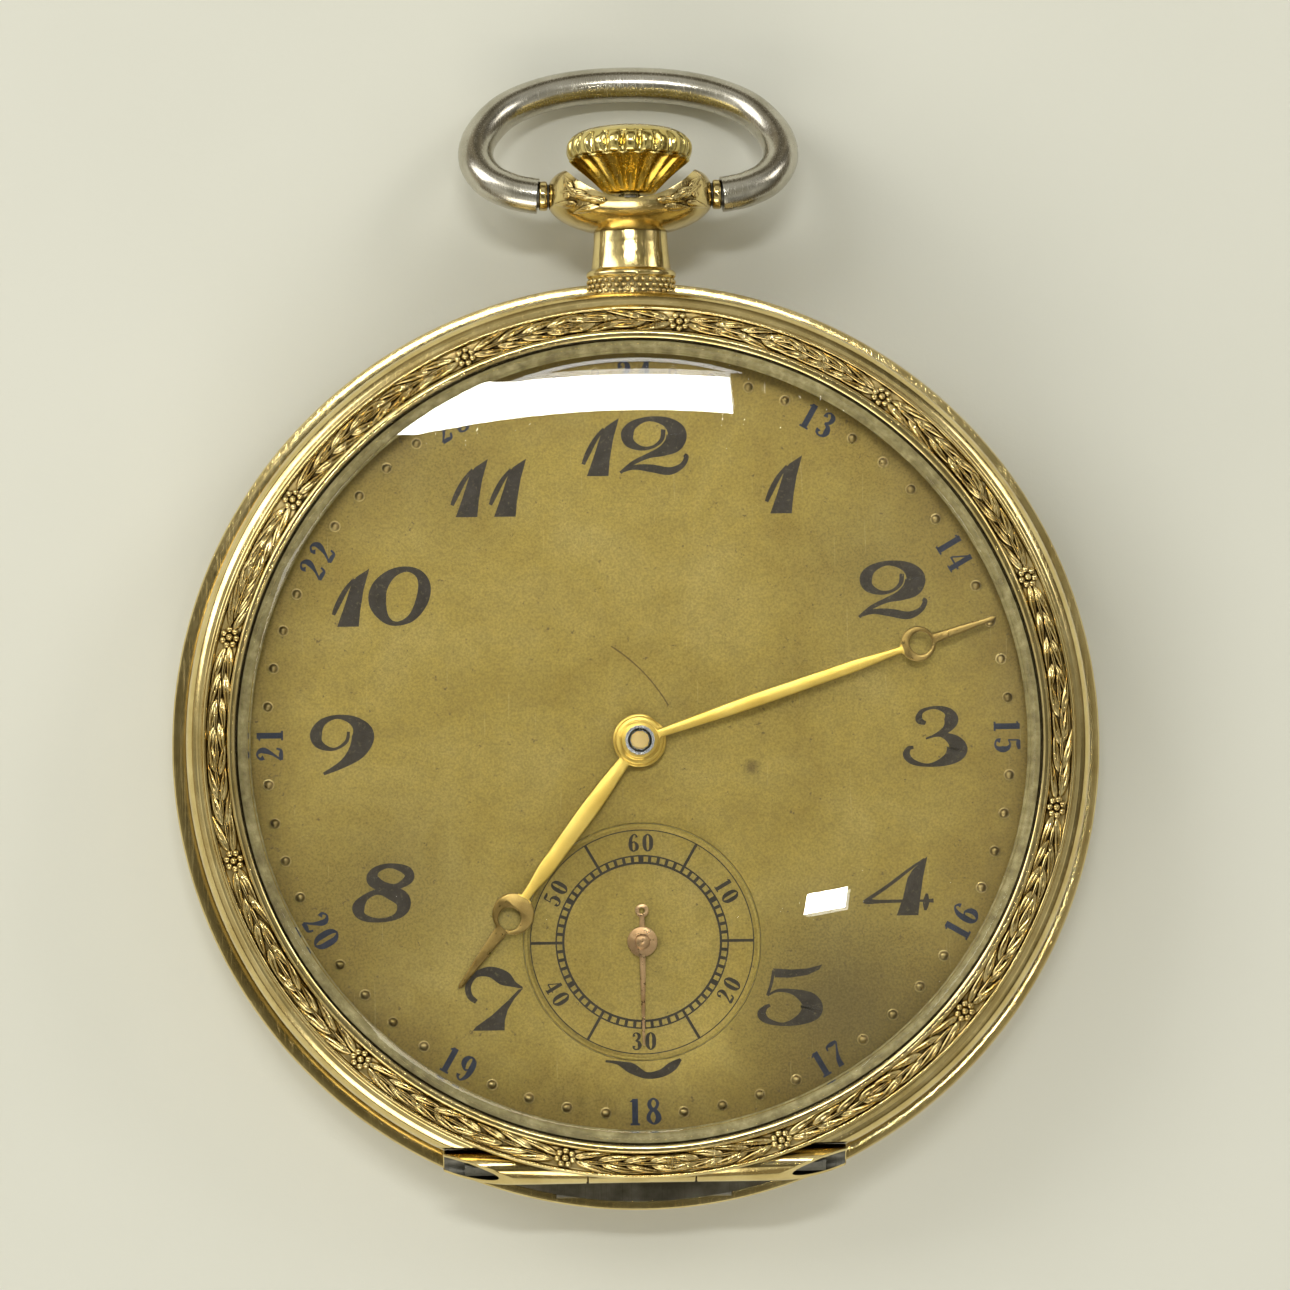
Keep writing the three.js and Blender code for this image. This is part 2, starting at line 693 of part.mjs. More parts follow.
add("centre_wheel", "wheel_brass", join(
  solid(plate(
    toothed(AT.centre, 48, 5.69, 5.46),
    3.5,
    3.75,
    crossings(AT.centre, 5, 1.5, 4.8, 0.25, 3),
  )),
  solid(plate(toothed(AT.centre, 10, 1.41, 1.18, 0.5), 4.75, 5.12)),
  solid(cylinder(...AT.centre, 0.45, 2.9, 8.6, 10)),
  solid(cylinder(...AT.centre, 0.8, 3.45, 5.0, 10)),
));
add("third_wheel", "wheel_brass", trainWheel({
  at: AT.third, teeth: 45, r: 5.2, spokes: 5, z0: 4.3, z1: 4.5,
  pinion: { leaves: 6, r: 0.69, z0: 3.44, z1: 3.9 }, arborTop: 3.44, arborEnd: 5.15, pivotEnd: 5.8,
}));
add("fourth_wheel", "wheel_brass", trainWheel({
  at: AT.fourth, teeth: 60, r: 5.0, spokes: 5, z0: 4.85, z1: 5.02,
  pinion: { leaves: 6, r: 0.69, z0: 4.2, z1: 4.62 }, arborTop: 3.44, arborEnd: 5.15, pivotEnd: 7.62,
}));
add("escape_wheel", "steel", join(
  solid(plate(
    Array.from({ length: 45 }, (_, i) => {
      const a = (i / 45) * 2 * Math.PI;
      const r = i % 3 === 0 ? 2.62 : 2.05;
      return [AT.escape[0] + r * Math.cos(a), AT.escape[1] + r * Math.sin(a)];
    }),
    3.78,
    3.96,
    crossings(AT.escape, 4, 0.8, 1.7, 0.14, 3),
  )),
  solid(cylinder(...AT.escape, 0.3, 3.45, 5.15, 8)),
  solid(plate(toothed(AT.escape, 6, 0.58, 0.36, 0.5), 4.7, 5.12)),
  solid(cylinder(...AT.escape, 0.14, BRIDGE.bottom + 0.15, 5.8, 8)),
));

// ---- escapement and balance ----
const forkTo = [
  AT.pallet[0] + (AT.balance[0] - AT.pallet[0]) * 0.8,
  AT.pallet[1] + (AT.balance[1] - AT.pallet[1]) * 0.8,
];
add("pallet_fork", "steel", join(
  solid(plate(link(AT.pallet, 0.3, forkTo, 0.16, 5), 3.78, 3.94)),
  solid(plate(link([6.6, -8.15], 0.2, [8.6, -9.65], 0.2, 4), 3.78, 3.94)),
  solid(cylinder(...AT.pallet, 0.12, 3.5, 5.7, 8)),
));
add("balance_wheel", "wheel_brass", join(
  solid(plate(
    circle(...AT.balance, 6.15, 32),
    2.88,
    3.22,
    crossings(AT.balance, 3, 0.75, 5.5, 0.28, 6),
  )),
  solid(cylinder(...AT.balance, 0.3, 2.7, 5.1, 8)),
  solid(cylinder(...AT.balance, 0.62, 3.5, 3.7, 10)),
  solid(cylinder(...AT.balance, 0.13, 2.3, 5.7, 8)),
));
add("hairspring", "blued_steel", plate(spiral(AT.balance, 0.42, 2.8, 5, 0.1, 10), 2.66, 2.8));
add("regulator", "steel", plate(
  link([10.42, -3.63], 0.75, [7.9, -1.4], 0.14, 6),
  1.98,
  2.11,
  [circle(...AT.balance, 0.45, 10)],
));

// ---- winding work on the back of the barrel bridge ----
add("ratchet_wheel", "steel", plate(
  toothed(AT.barrel, 35, 5.52, 5.28),
  2.3,
  2.68,
  [circle(...AT.barrel, 0.46, 10)],
));
add("crown_wheel", "steel", join(
  solid(plate(
    toothed(AT.crownWheel, 32, 4.98, 4.76, 0.5),
    2.32,
    2.68,
    [circle(...AT.crownWheel, 0.97, 12)],
  )),
  solid(plate(
    circle(...AT.crownWheel, 4.75, 24),
    2.6,
    4.03,
    [circle(...AT.crownWheel, 4.25, 24)],
  )),
));
add("click", "steel", plate(
  link([-15.2, 9.6], 0.75, [-13.0, 8.4], 0.2, 6),
  2.32,
  2.68,
  [circle(-15.2, 9.6, 0.3, 8)],
));

function pinionOnStem(teeth, tipR, rootR, y0, y1) {
  return plate(toothed([0, 0], teeth, tipR, rootR), y0, y1, [circle(0, 0, STEM.r + 0.04, 10)])
    .rotateX(-Math.PI / 2)
    .translate(0, 0, STEM.z);
}

add("winding_pinion", "steel", pinionOnStem(14, 1.36, 1.16, 16.5, 17.9));
add("clutch", "steel", pinionOnStem(12, 1.12, 0.96, 14.4, 16.4));
add("setting_lever", "steel", plate(
  link([3.6, 17.6], 0.6, [1.4, 18.3], 0.3, 6),
  6.7,
  6.88,
  [circle(3.6, 17.6, 0.32, 8)],
));

// ---- screws and jewels ----
// A cheese-head screw whose slotted head faces the case back.
function screw(name, [x, y], headZ, headR, headT, shankR, length) {
  add(name, "blued_steel", cut(
    join(
      solid(cylinder(x, y, headR, headZ, headZ + headT, 10)),
      solid(cylinder(x, y, shankR, headZ + headT - 0.05, headZ + headT + length, 8)),
    ),
    solid(box(x - headR - 0.1, x + headR + 0.1, y - 0.1, y + 0.1, headZ - 0.1, headZ + 0.14)),
  ));
}

FEET.barrel.forEach((at, i) => screw(`barrel_bridge_screw_${i + 1}`, at, 2.36, 0.85, 0.37, 0.36, 2.2));
FEET.train.forEach((at, i) => screw(`train_bridge_screw_${i + 1}`, at, 2.36, 0.85, 0.37, 0.36, 2.2));
screw("balance_cock_screw", FEET.cock, 1.8, 0.75, 0.33, 0.36, 2.6);

function jewel(name, at, r, z0, z1) {
  add(name, "ruby", plate(circle(...at, r, 8), z0, z1, [circle(...at, 0.19, 6)]));
}

jewel("jewel_third", AT.third, 0.66, 2.78, 3.1);
jewel("jewel_fourth", AT.fourth, 0.66, 2.78, 3.1);
jewel("jewel_escape", AT.escape, 0.66, 2.78, 3.1);
jewel("jewel_balance", AT.balance, 0.55, 2.2, 2.5);

export default watch;
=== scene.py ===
"""Looks of the open-face pocket watch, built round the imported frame.

Lengths are in millimetres until a mesh is made.
"""

import math
import random

import bmesh
import bpy
from mathutils import Matrix, Vector


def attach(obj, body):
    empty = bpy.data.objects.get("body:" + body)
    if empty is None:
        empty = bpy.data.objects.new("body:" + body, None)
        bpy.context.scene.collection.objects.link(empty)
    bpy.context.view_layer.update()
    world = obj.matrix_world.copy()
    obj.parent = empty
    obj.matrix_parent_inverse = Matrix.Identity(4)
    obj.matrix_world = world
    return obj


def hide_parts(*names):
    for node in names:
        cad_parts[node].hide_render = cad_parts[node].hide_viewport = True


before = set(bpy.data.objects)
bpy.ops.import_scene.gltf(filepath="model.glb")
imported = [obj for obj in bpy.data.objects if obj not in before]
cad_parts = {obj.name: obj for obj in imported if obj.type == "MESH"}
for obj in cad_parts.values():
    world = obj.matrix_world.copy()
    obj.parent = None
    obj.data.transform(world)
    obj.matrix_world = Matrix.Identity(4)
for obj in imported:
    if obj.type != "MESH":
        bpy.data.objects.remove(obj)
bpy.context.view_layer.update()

MM = 0.001
TAU = 2 * math.pi
# the bezel's hinge: its axis, the radii of its tubes and the two ends of the middle tube
HINGE = {"y": -22.55, "z": 7.2, "r": 0.95, "bore": 0.5, "mid": (-3.05, 2.65)}
HINGE_GAP = 0.05
STEM_Z = 5.5
DIAL_TOP = 7.35
# the seconds dial: its centre, its radius and the height of its face
SUB = {"y": -10.7, "r": 6.33, "top": 7.16}
# the bezel's engraved band: its outer radius, its height there and how steeply it rises inwards
BAND = {"r": 22.95, "z": 8.78, "slope": 0.245}
BOW_PIVOT = (0.0, 29.65, 5.5)
BOW_FOLD = math.radians(-33.7)
# where the hands point, clockwise from 12 o'clock
HOUR_DEG = 216.9
MINUTE_DEG = 71.7
# how far printing is sunk into the dial, so that its underside never shows
PRINT_SINK = 0.02
WELD_M = 1e-7


# ---------------------------------------------------------------- meshes
def to_object(name, verts, faces, materials, smooth_deg=35.0, face_materials=None):
    """A mesh object from millimetre points, smooth except where faces meet at more than smooth_deg."""
    mesh = bpy.data.meshes.new(name)
    mesh.from_pydata([Vector(v) * MM for v in verts], [], faces)
    for material in materials:
        mesh.materials.append(material)
    if face_materials:
        mesh.polygons.foreach_set("material_index", face_materials)
    mesh.validate()
    bm = bmesh.new()
    bm.from_mesh(mesh)
    bmesh.ops.remove_doubles(bm, verts=bm.verts, dist=WELD_M)
    bmesh.ops.recalc_face_normals(bm, faces=bm.faces)
    bm.to_mesh(mesh)
    bm.free()
    finish_shading(mesh, smooth_deg)
    obj = bpy.data.objects.new(name, mesh)
    bpy.context.scene.collection.objects.link(obj)
    return obj


def finish_shading(mesh, smooth_deg):
    mesh.polygons.foreach_set("use_smooth", [True] * len(mesh.polygons))
    mesh.set_sharp_from_angle(angle=math.radians(smooth_deg))
    mesh.update()


def fillet(points, radius, steps=4, closed=True):
    """The points with each corner rounded by up to radius."""
    out = []
    n = len(points)
    for i, point in enumerate(points):
        if not closed and i in (0, n - 1):
            out.append(tuple(point))
            continue
        b = Vector(point)
        u = Vector(points[i - 1]) - b
        v = Vector(points[(i + 1) % n]) - b
        r = min(radius, u.length * 0.45, v.length * 0.45)
        start = b + u.normalized() * r
        end = b + v.normalized() * r
        for k in range(steps + 1):
            t = k / steps
            out.append(tuple(start * (1 - t) ** 2 + b * 2 * t * (1 - t) + end * t * t))
    return out


def lathe(profile, segments=192, closed=True, radius_at=None):
    """Vertices and faces of a profile of (radius, height) turned about Z."""
    verts, faces = [], []
    n = len(profile)
    for s in range(segments):
        a = TAU * s / segments
        for k, (r, z) in enumerate(profile):
            rr = radius_at(k, r, z, a) if radius_at else r
            verts.append((rr * math.cos(a), rr * math.sin(a), z))
    for s in range(segments):
        t = (s + 1) % segments
        for k in range(n if closed else n - 1):
            m = (k + 1) % n
            faces.append((s * n + k, t * n + k, t * n + m, s * n + m))
    return verts, faces


def turned_solid(profile, low, high, segments=224):
    """A turned solid whose profile starts beside the axis at height low and ends beside it at height high."""
    verts, faces = lathe([p for p in profile if p[0] > 0.05], segments, closed=False)
    n = len(verts) // segments
    bottom = len(verts)
    verts += [(0, 0, low), (0, 0, high)]
    for s in range(segments):
        t = (s + 1) % segments
        faces.append((s * n, t * n, bottom))
        faces.append((t * n + n - 1, s * n + n - 1, bottom + 1))
    return verts, faces


def moved(verts, dx=0.0, dy=0.0, dz=0.0):
    return [(x + dx, y + dy, z + dz) for x, y, z in verts]


class Pieces:
    """Collects the vertices and faces of many small solids for one object."""

    def __init__(self):
        self.verts, self.faces = [], []

    def add(self, verts, faces):
        base = len(self.verts)
        self.verts.extend(verts)
        self.faces.extend([tuple(base + i for i in f) for f in faces])


def shift_y(obj, y):
    obj.data.transform(Matrix.Translation(Vector((0, y, 0)) * MM))


def cut(obj, cutter, bevel=0.0):
    """Takes the cutter away from the object and removes it. bevel rounds the sharp edges."""
    modifier = obj.modifiers.new("cut", "BOOLEAN")
    modifier.operation = "DIFFERENCE"
    modifier.object = cutter
    modifier.solver = "EXACT"
    if bevel:
        edge = obj.modifiers.new("edge", "BEVEL")
        edge.width = bevel * MM
        edge.segments = 3
        edge.limit_method = "ANGLE"
        edge.angle_limit = math.radians(38)
    graph = bpy.context.evaluated_depsgraph_get()
    mesh = bpy.data.meshes.new_from_object(obj.evaluated_get(graph))
    obj.modifiers.clear()
    old = obj.data
    obj.data = mesh
    mesh.name = old.name
    bpy.data.meshes.remove(old)
    bpy.data.objects.remove(cutter)
    finish_shading(obj.data, 35.0)


def cylinder(name, radius, z0, z1, segments):
    verts, faces = lathe([(radius, z0), (radius, z1)], segments, closed=False)
    faces.append(tuple(2 * s for s in reversed(range(segments))))
    faces.append(tuple(2 * s + 1 for s in range(segments)))
    return to_object(name, verts, faces, [])


def sweep(points, radii, sides):
    """A round bar along points in one plane (z constant), with a radius for each point."""
    verts, faces = [], []
    n = len(points)
    up = Vector((0, 0, 1))
    for i in range(n):
        p = Vector(points[i])
        tangent = (Vector(points[min(i + 1, n - 1)]) - Vector(points[max(i - 1, 0)])).normalized()
        side = tangent.cross(up).normalized()
        for k in range(sides):
            a = TAU * k / sides
            verts.append(tuple(p + (side * math.cos(a) + up * math.sin(a)) * radii[i]))
    for i in range(n - 1):
        for k in range(sides):
            m = (k + 1) % sides
            faces.append((i * sides + k, i * sides + m, (i + 1) * sides + m, (i + 1) * sides + k))
    faces.append(tuple(range(sides)))
    faces.append(tuple((n - 1) * sides + k for k in reversed(range(sides))))
    return verts, faces


def catmull(nodes, steps, loop=False):
    """Smooth interpolation through tuples of any length."""
    n = len(nodes)
    out = []
    spans = n if loop else n - 1
    for i in range(spans):
        def at(j):
            return nodes[j % n] if loop else nodes[min(max(j, 0), n - 1)]
        p0, p1, p2, p3 = at(i - 1), at(i), at(i + 1), at(i + 2)
        for k in range(steps):
            t = k / steps
            out.append(tuple(
                0.5 * (2 * b + (c - a) * t + (2 * a - 5 * b + 4 * c - d) * t * t
                       + (3 * b - a - 3 * c + d) * t ** 3)
                for a, b, c, d in zip(p0, p1, p2, p3)
            ))
    if not loop:
        out.append(tuple(nodes[-1]))
    return out


# ---------------------------------------------------------------- numerals
# A glyph is its width and its strokes, in hundredths of its height. A stroke is ("line" | "loop",
# [(x, y, width), ...]), and ("fill", [(x, y), ...]) is a filled outline.
def in_cells(font):
    """The font with its hundredths turned into parts of a cell one unit high."""
    cells = {}
    for letter, (width, strokes) in font.items():
        scaled = [(kind, [tuple(v / 100 for v in node) for node in nodes]) for kind, nodes in strokes]
        cells[letter] = (width / 100, scaled)
    return cells


BOLD = in_cells({
    "1": (66, [
        ("fill", [(11, 0), (47, 0), (50, 28), (56, 62), (66, 97), (44, 83), (36, 72), (22, 30)]),
        ("line", [(40, 80, 4), (25, 60, 8), (13, 38, 9), (5, 20, 6)]),
    ]),
    "2": (120, [
        ("line", [(76, 77, 8), (73, 60, 7), (58, 48, 5), (38, 46, 8), (19, 56, 17),
                  (16, 72, 21), (28, 87, 13), (53, 95, 8), (82, 89, 17), (98, 72, 32),
                  (93, 54, 32), (74, 41, 18), (50, 33, 9), (24, 21, 7), (3, 5, 5)]),
        ("line", [(5, 7, 4), (27, 14, 8), (55, 12, 13), (85, 7, 13), (106, 16, 9),
                  (114, 30, 8), (110, 34, 6)]),
    ]),
    "3": (114, [
        ("line", [(42, 73, 6), (31, 79, 12), (36, 93, 7), (57, 99, 5), (78, 93, 13),
                  (85, 79, 24), (77, 63, 14), (58, 53, 5), (42, 47, 3)]),
        ("line", [(42, 47.5, 3), (67, 53, 7), (88, 43, 22), (93, 28, 36), (78, 12, 20),
                  (48, 3, 6), (21, 8, 9), (9, 20, 12), (13, 31, 8), (21, 33, 5)]),
    ]),
    "4": (122, [
        ("fill", [(58, 0), (94, 0), (98, 30), (103, 62), (111, 98), (86, 76), (77, 62), (69, 30)]),
        ("line", [(106, 94, 3), (80, 76, 5), (45, 50, 6), (6, 24.5, 6)]),
        ("line", [(2, 23.5, 4), (10, 24, 9), (30, 23.5, 6), (70, 24, 5), (100, 24, 4),
                  (120, 24, 7)]),
        ("line", [(109, 36, 4), (108, 27, 9), (107, 18, 10), (106, 8, 4)]),
    ]),
    "5": (116, [
        ("fill", [(28, 96), (58, 93.5), (85, 95), (110, 101), (105, 93), (85, 84), (55, 80),
                  (31, 81)]),
        ("line", [(29, 93, 5), (25, 72, 5), (18, 51, 5)]),
        ("line", [(18, 51, 3), (36, 59, 5), (62, 56, 10), (86, 43, 28), (91, 27, 37),
                  (75, 12, 20), (45, 3, 6), (18, 9, 10), (8, 20, 15), (14, 31, 8),
                  (22, 35, 5)]),
    ]),
    "6": (124, [
        ("line", [(2, 24, 5), (14, 25, 4), (30, 21, 8), (50, 12, 15), (72, 5, 9),
                  (92, 9, 9), (110, 22, 12), (120, 31, 4)]),
    ]),
    "7": (98, [
        ("line", [(19, 48, 8), (8, 58, 10), (6, 76, 10), (19, 93, 10), (43, 97, 18),
                  (66, 86, 24), (82, 76, 10), (96, 70, 3)]),
        ("fill", [(12, 0), (65, 0), (66, 17), (71, 34), (82, 52), (97, 69), (89, 67),
                  (70, 48), (44, 25), (18, 7)]),
    ]),
    "8": (112, [
        ("loop", [(66, 95, 8), (93, 87, 15), (97, 73, 16), (76, 60, 10), (52, 62, 17),
                  (37, 73, 21), (43, 88, 12)]),
        ("loop", [(45, 52, 10), (66, 50, 22), (85, 40, 26), (87, 24, 21), (74, 10, 10),
                  (46, 4.5, 7), (20, 11, 13), (13, 26, 21), (25, 43, 11)]),
    ]),
    "9": (114, [
        ("line", [(67, 72, 5), (63, 55, 6), (42, 43, 5), (19, 51, 14), (13, 68, 20),
                  (24, 88, 12), (50, 97, 7), (78, 88, 18), (91, 67, 37), (82, 41, 30),
                  (58, 19, 14), (25, 2, 5)]),
    ]),
    "0": (104, [
        ("loop", [(64, 95, 9), (38, 87, 16), (18, 64, 27), (15, 38, 29), (27, 13, 15),
                  (46, 4, 7), (71, 14, 13), (88, 40, 21), (93, 66, 21), (85, 86, 14)]),
    ]),
})

SIX = [(45, 80, 11), (42, 92, 6), (28, 97, 5), (13, 74, 12), (10, 40, 16),
       (14, 14, 12), (28, 3, 5), (44, 16, 13), (46, 36, 14), (31, 56, 5),
       (15, 46, 4)]
FINE = in_cells({
    "0": (56, [("loop", [(28, 97, 5), (12, 80, 13), (9, 50, 16), (12, 20, 13),
                           (28, 3, 5), (44, 20, 13), (47, 50, 16), (44, 80, 13)])]),
    "1": (46, [("line", [(24, 98, 15), (24, 0, 15)]), ("line", [(6, 2, 5), (42, 2, 5)]),
                 ("line", [(22, 96, 5), (6, 86, 4)])]),
    "2": (56, [("line", [(17, 72, 13), (12, 86, 7), (27, 97, 5), (42, 86, 12),
                           (43, 68, 15), (28, 36, 7), (7, 6, 5)]),
                 ("line", [(7, 5, 8), (26, 7, 11), (44, 7, 7), (51, 24, 5)])]),
    "3": (56, [("line", [(14, 76, 13), (13, 90, 6), (27, 97, 5), (42, 84, 13),
                           (39, 64, 10), (22, 53, 4)]),
                 ("line", [(22, 53, 4), (40, 45, 11), (45, 26, 16), (40, 9, 9),
                           (25, 3, 5), (11, 10, 7), (13, 24, 13)])]),
    "4": (60, [("line", [(40, 98, 13), (40, 0, 13)]), ("line", [(38, 98, 4), (4, 30, 4)]),
                 ("line", [(3, 29, 5), (57, 29, 5)]), ("line", [(25, 2, 4), (55, 2, 4)])]),
    "5": (56, [("line", [(10, 93, 8), (28, 91, 11), (46, 95, 6)]),
                 ("line", [(11, 95, 4), (10, 52, 4)]),
                 ("line", [(10, 53, 3), (26, 61, 5), (42, 50, 12), (46, 30, 16),
                           (40, 10, 9), (25, 3, 5), (11, 10, 7), (13, 23, 13)])]),
    "6": (56, [("line", SIX)]),
    "7": (54, [("line", [(5, 76, 4), (8, 90, 6), (28, 92, 11), (50, 94, 6)]),
                 ("line", [(50, 93, 4), (34, 56, 6), (24, 28, 12), (22, 2, 15)])]),
    "8": (56, [("loop", [(28, 97, 5), (14, 86, 9), (14, 68, 11), (28, 55, 9),
                           (42, 70, 8), (42, 86, 8)]),
                 ("loop", [(28, 55, 9), (12, 40, 9), (10, 20, 11), (28, 3, 5),
                           (45, 18, 14), (44, 38, 13)])]),
    "9": (56, [("line", [(56 - x, 100 - y, w) for x, y, w in SIX])]),
})


def ribbon(nodes, loop, steps, weight):
    """The left and right edges of a stroke of changing width."""
    thinnest = 0.02
    path = catmull(nodes, steps, loop)
    n = len(path)
    left, right = [], []
    for i, (x, y, w) in enumerate(path):
        a = path[(i - 1) % n] if loop or i else path[i]
        b = path[(i + 1) % n] if loop or i < n - 1 else path[i]
        d = Vector((b[0] - a[0], b[1] - a[1]))
        d = d.normalized() if d.length else Vector((1, 0))
        h = max(w * weight, thinnest) / 2
        left.append((x - d.y * h, y + d.x * h))
        right.append((x + d.y * h, y - d.x * h))
    return left, right


def add_glyph(pieces, strokes, place, z, thickness, steps=8, weight=1.0):
    """Adds a glyph's strokes as thin closed solids. place maps a stroke's (x, y) to dial millimetres."""
    step_up = 0.0015
    for order, (kind, nodes) in enumerate(strokes):
        top = z + thickness + order * step_up
        if kind == "fill":
            ring = [place(x, y) for x, y in catmull(nodes, 1, True)]
            m = len(ring)
            verts = [(x, y, top) for x, y in ring] + [(x, y, z) for x, y in ring]
            faces = [tuple(range(m)), tuple(range(2 * m - 1, m - 1, -1))]
            faces += [(i, i + m, (i + 1) % m + m, (i + 1) % m) for i in range(m)]
            pieces.add(verts, faces)
            continue
        loop = kind == "loop"
        left, right = ribbon(nodes, loop, steps, weight)
        m = len(left)
        verts = [(*place(*p), top) for p in left] + [(*place(*p), top) for p in right]
        verts += [(*place(*p), z) for p in left] + [(*place(*p), z) for p in right]
        faces = []
        for i in range(m if loop else m - 1):
            j = (i + 1) % m
            faces += [(i, j, m + j, m + i), (2 * m + i, 3 * m + i, 3 * m + j, 2 * m + j)]
            faces += [(i, 2 * m + i, 2 * m + j, j), (m + i, m + j, 3 * m + j, 3 * m + i)]
        if not loop:
            faces += [(0, m, 3 * m, 2 * m), (m - 1, 3 * m - 1, 4 * m - 1, 2 * m - 1)]
        pieces.add(verts, faces)


def add_text(pieces, text, font, centre, height, degrees, z, thickness, gap=0.0, steps=8, weight=1.0):
    """Adds a word centred on a point of the dial, its top turned clockwise by degrees from 12 o'clock."""
    widths = [font[c][0] for c in text]
    total = sum(widths) + gap * (len(text) - 1)
    a = -math.radians(degrees)
    c, s = math.cos(a), math.sin(a)
    cursor = -total / 2
    for letter, width in zip(text, widths):
        def place(x, y, start=cursor):
            u = (start + x) * height
            v = (y - 0.5) * height
            return centre[0] + u * c - v * s, centre[1] + u * s + v * c
        add_glyph(pieces, font[letter][1], place, z, thickness, steps, weight)
        cursor += width + gap


def reading_turn(degrees):
    """The turn of a numeral on a ring: its feet point inwards on the upper half, outwards on the lower."""
    return degrees if degrees <= 90 or degrees >= 270 else degrees + 180


def clock_point(radius, degrees):
    a = math.radians(degrees)
    return radius * math.sin(a), radius * math.cos(a)


# ---------------------------------------------------------------- materials
class Look:
    """Builds one node-based material. Coordinates are the piece's own, in millimetres."""

    def __init__(self, name, **values):
        self.material = bpy.data.materials.new(name)
        self.material.use_nodes = True
        self.tree = self.material.node_tree
        self.shader = self.tree.nodes["Principled BSDF"]
        coord = self.node("ShaderNodeTexCoord")
        self.mm = self.mapped(coord.outputs["Object"], (1000, 1000, 1000))
        for key, value in values.items():
            self.set(key.replace("_", " "), value)

    def node(self, kind, **props):
        n = self.tree.nodes.new(kind)
        for key, value in props.items():
            setattr(n, key, value)
        return n

    def link(self, a, b):
        self.tree.links.new(a, b)

    def set(self, socket, value):
        target = next(s for s in self.shader.inputs if s.name.lower() == socket.lower())
        target.default_value = (*value, 1.0) if isinstance(value, tuple) and len(value) == 3 else value

    def mapped(self, vector, scale, turn=(0, 0, 0)):
        m = self.node("ShaderNodeMapping")
        m.inputs["Scale"].default_value = scale
        m.inputs["Rotation"].default_value = turn
        self.link(vector, m.inputs["Vector"])
        return m.outputs["Vector"]

    def noise(self, scale, detail=4.0, rough=0.55, distortion=0.0, vector=None):
        n = self.node("ShaderNodeTexNoise")
        n.inputs["Scale"].default_value = scale
        n.inputs["Detail"].default_value = detail
        n.inputs["Roughness"].default_value = rough
        n.inputs["Distortion"].default_value = distortion
        self.link(vector or self.mm, n.inputs["Vector"])
        return n.outputs["Fac"]

    def ramp(self, fac, *stops):
        """stops are (position, colour or grey)."""
        r = self.node("ShaderNodeValToRGB")
        while len(r.color_ramp.elements) < len(stops):
            r.color_ramp.elements.new(0.5)
        for element, (position, colour) in zip(r.color_ramp.elements, stops):
            element.position = position
            element.color = (*colour, 1) if isinstance(colour, tuple) else (colour, colour, colour, 1)
        self.link(fac, r.inputs["Fac"])
        return r.outputs["Color"]

    def mix(self, fac, a, b, blend="MIX"):
        m = self.node("ShaderNodeMix", data_type="RGBA", blend_type=blend)
        for value, socket in ((fac, m.inputs[0]), (a, m.inputs[6]), (b, m.inputs[7])):
            if isinstance(value, bpy.types.NodeSocket):
                self.link(value, socket)
            elif isinstance(value, tuple):
                socket.default_value = (*value, 1)
            else:
                socket.default_value = value
        return m.outputs[2]

    def math(self, operation, a, b=0.0, clamp=False):
        m = self.node("ShaderNodeMath", operation=operation, use_clamp=clamp)
        for value, socket in ((a, m.inputs[0]), (b, m.inputs[1])):
            if isinstance(value, bpy.types.NodeSocket):
                self.link(value, socket)
            else:
                socket.default_value = value
        return m.outputs[0]

    def remap(self, fac, low, high):
        m = self.node("ShaderNodeMapRange")
        m.inputs["To Min"].default_value = low
        m.inputs["To Max"].default_value = high
        self.link(fac, m.inputs["Value"])
        return m.outputs["Result"]

    def hairlines(self, turn, stretch, low=0.62, high=0.66):
        """Thin streaks across the surface: 1 on a scratch, 0 off it."""
        v = self.mapped(self.mm, (stretch, 0.22, stretch), (0, 0, turn))
        return self.ramp(self.noise(1.0, 2.0, 0.5, 0.0, v), (low, 0.0), (high, 1.0))

    def radius(self, dx=0.0, dy=0.0):
        """Distance from an axis parallel to Z."""
        m = self.node("ShaderNodeMapping")
        m.inputs["Location"].default_value = (-dx, -dy, 0)
        m.inputs["Scale"].default_value = (1, 1, 0)
        self.link(self.mm, m.inputs["Vector"])
        length = self.node("ShaderNodeVectorMath", operation="LENGTH")
        self.link(m.outputs["Vector"], length.inputs[0])
        return length.outputs["Value"]

    def crevice(self, distance_mm):
        """1 on open surfaces and 0 down in the grooves."""
        ao = self.node("ShaderNodeAmbientOcclusion", samples=4)
        ao.inputs["Distance"].default_value = distance_mm * MM
        return ao.outputs["AO"]

    def colour(self, socket):
        self.link(socket, self.shader.inputs["Base Color"])

    def rough(self, socket):
        self.link(socket, self.shader.inputs["Roughness"])

    def bump(self, height, depth_mm, strength=1.0):
        b = self.node("ShaderNodeBump")
        b.inputs["Distance"].default_value = depth_mm * MM
        b.inputs["Strength"].default_value = strength
        self.link(height, b.inputs["Height"])
        self.link(b.outputs["Normal"], self.shader.inputs["Normal"])


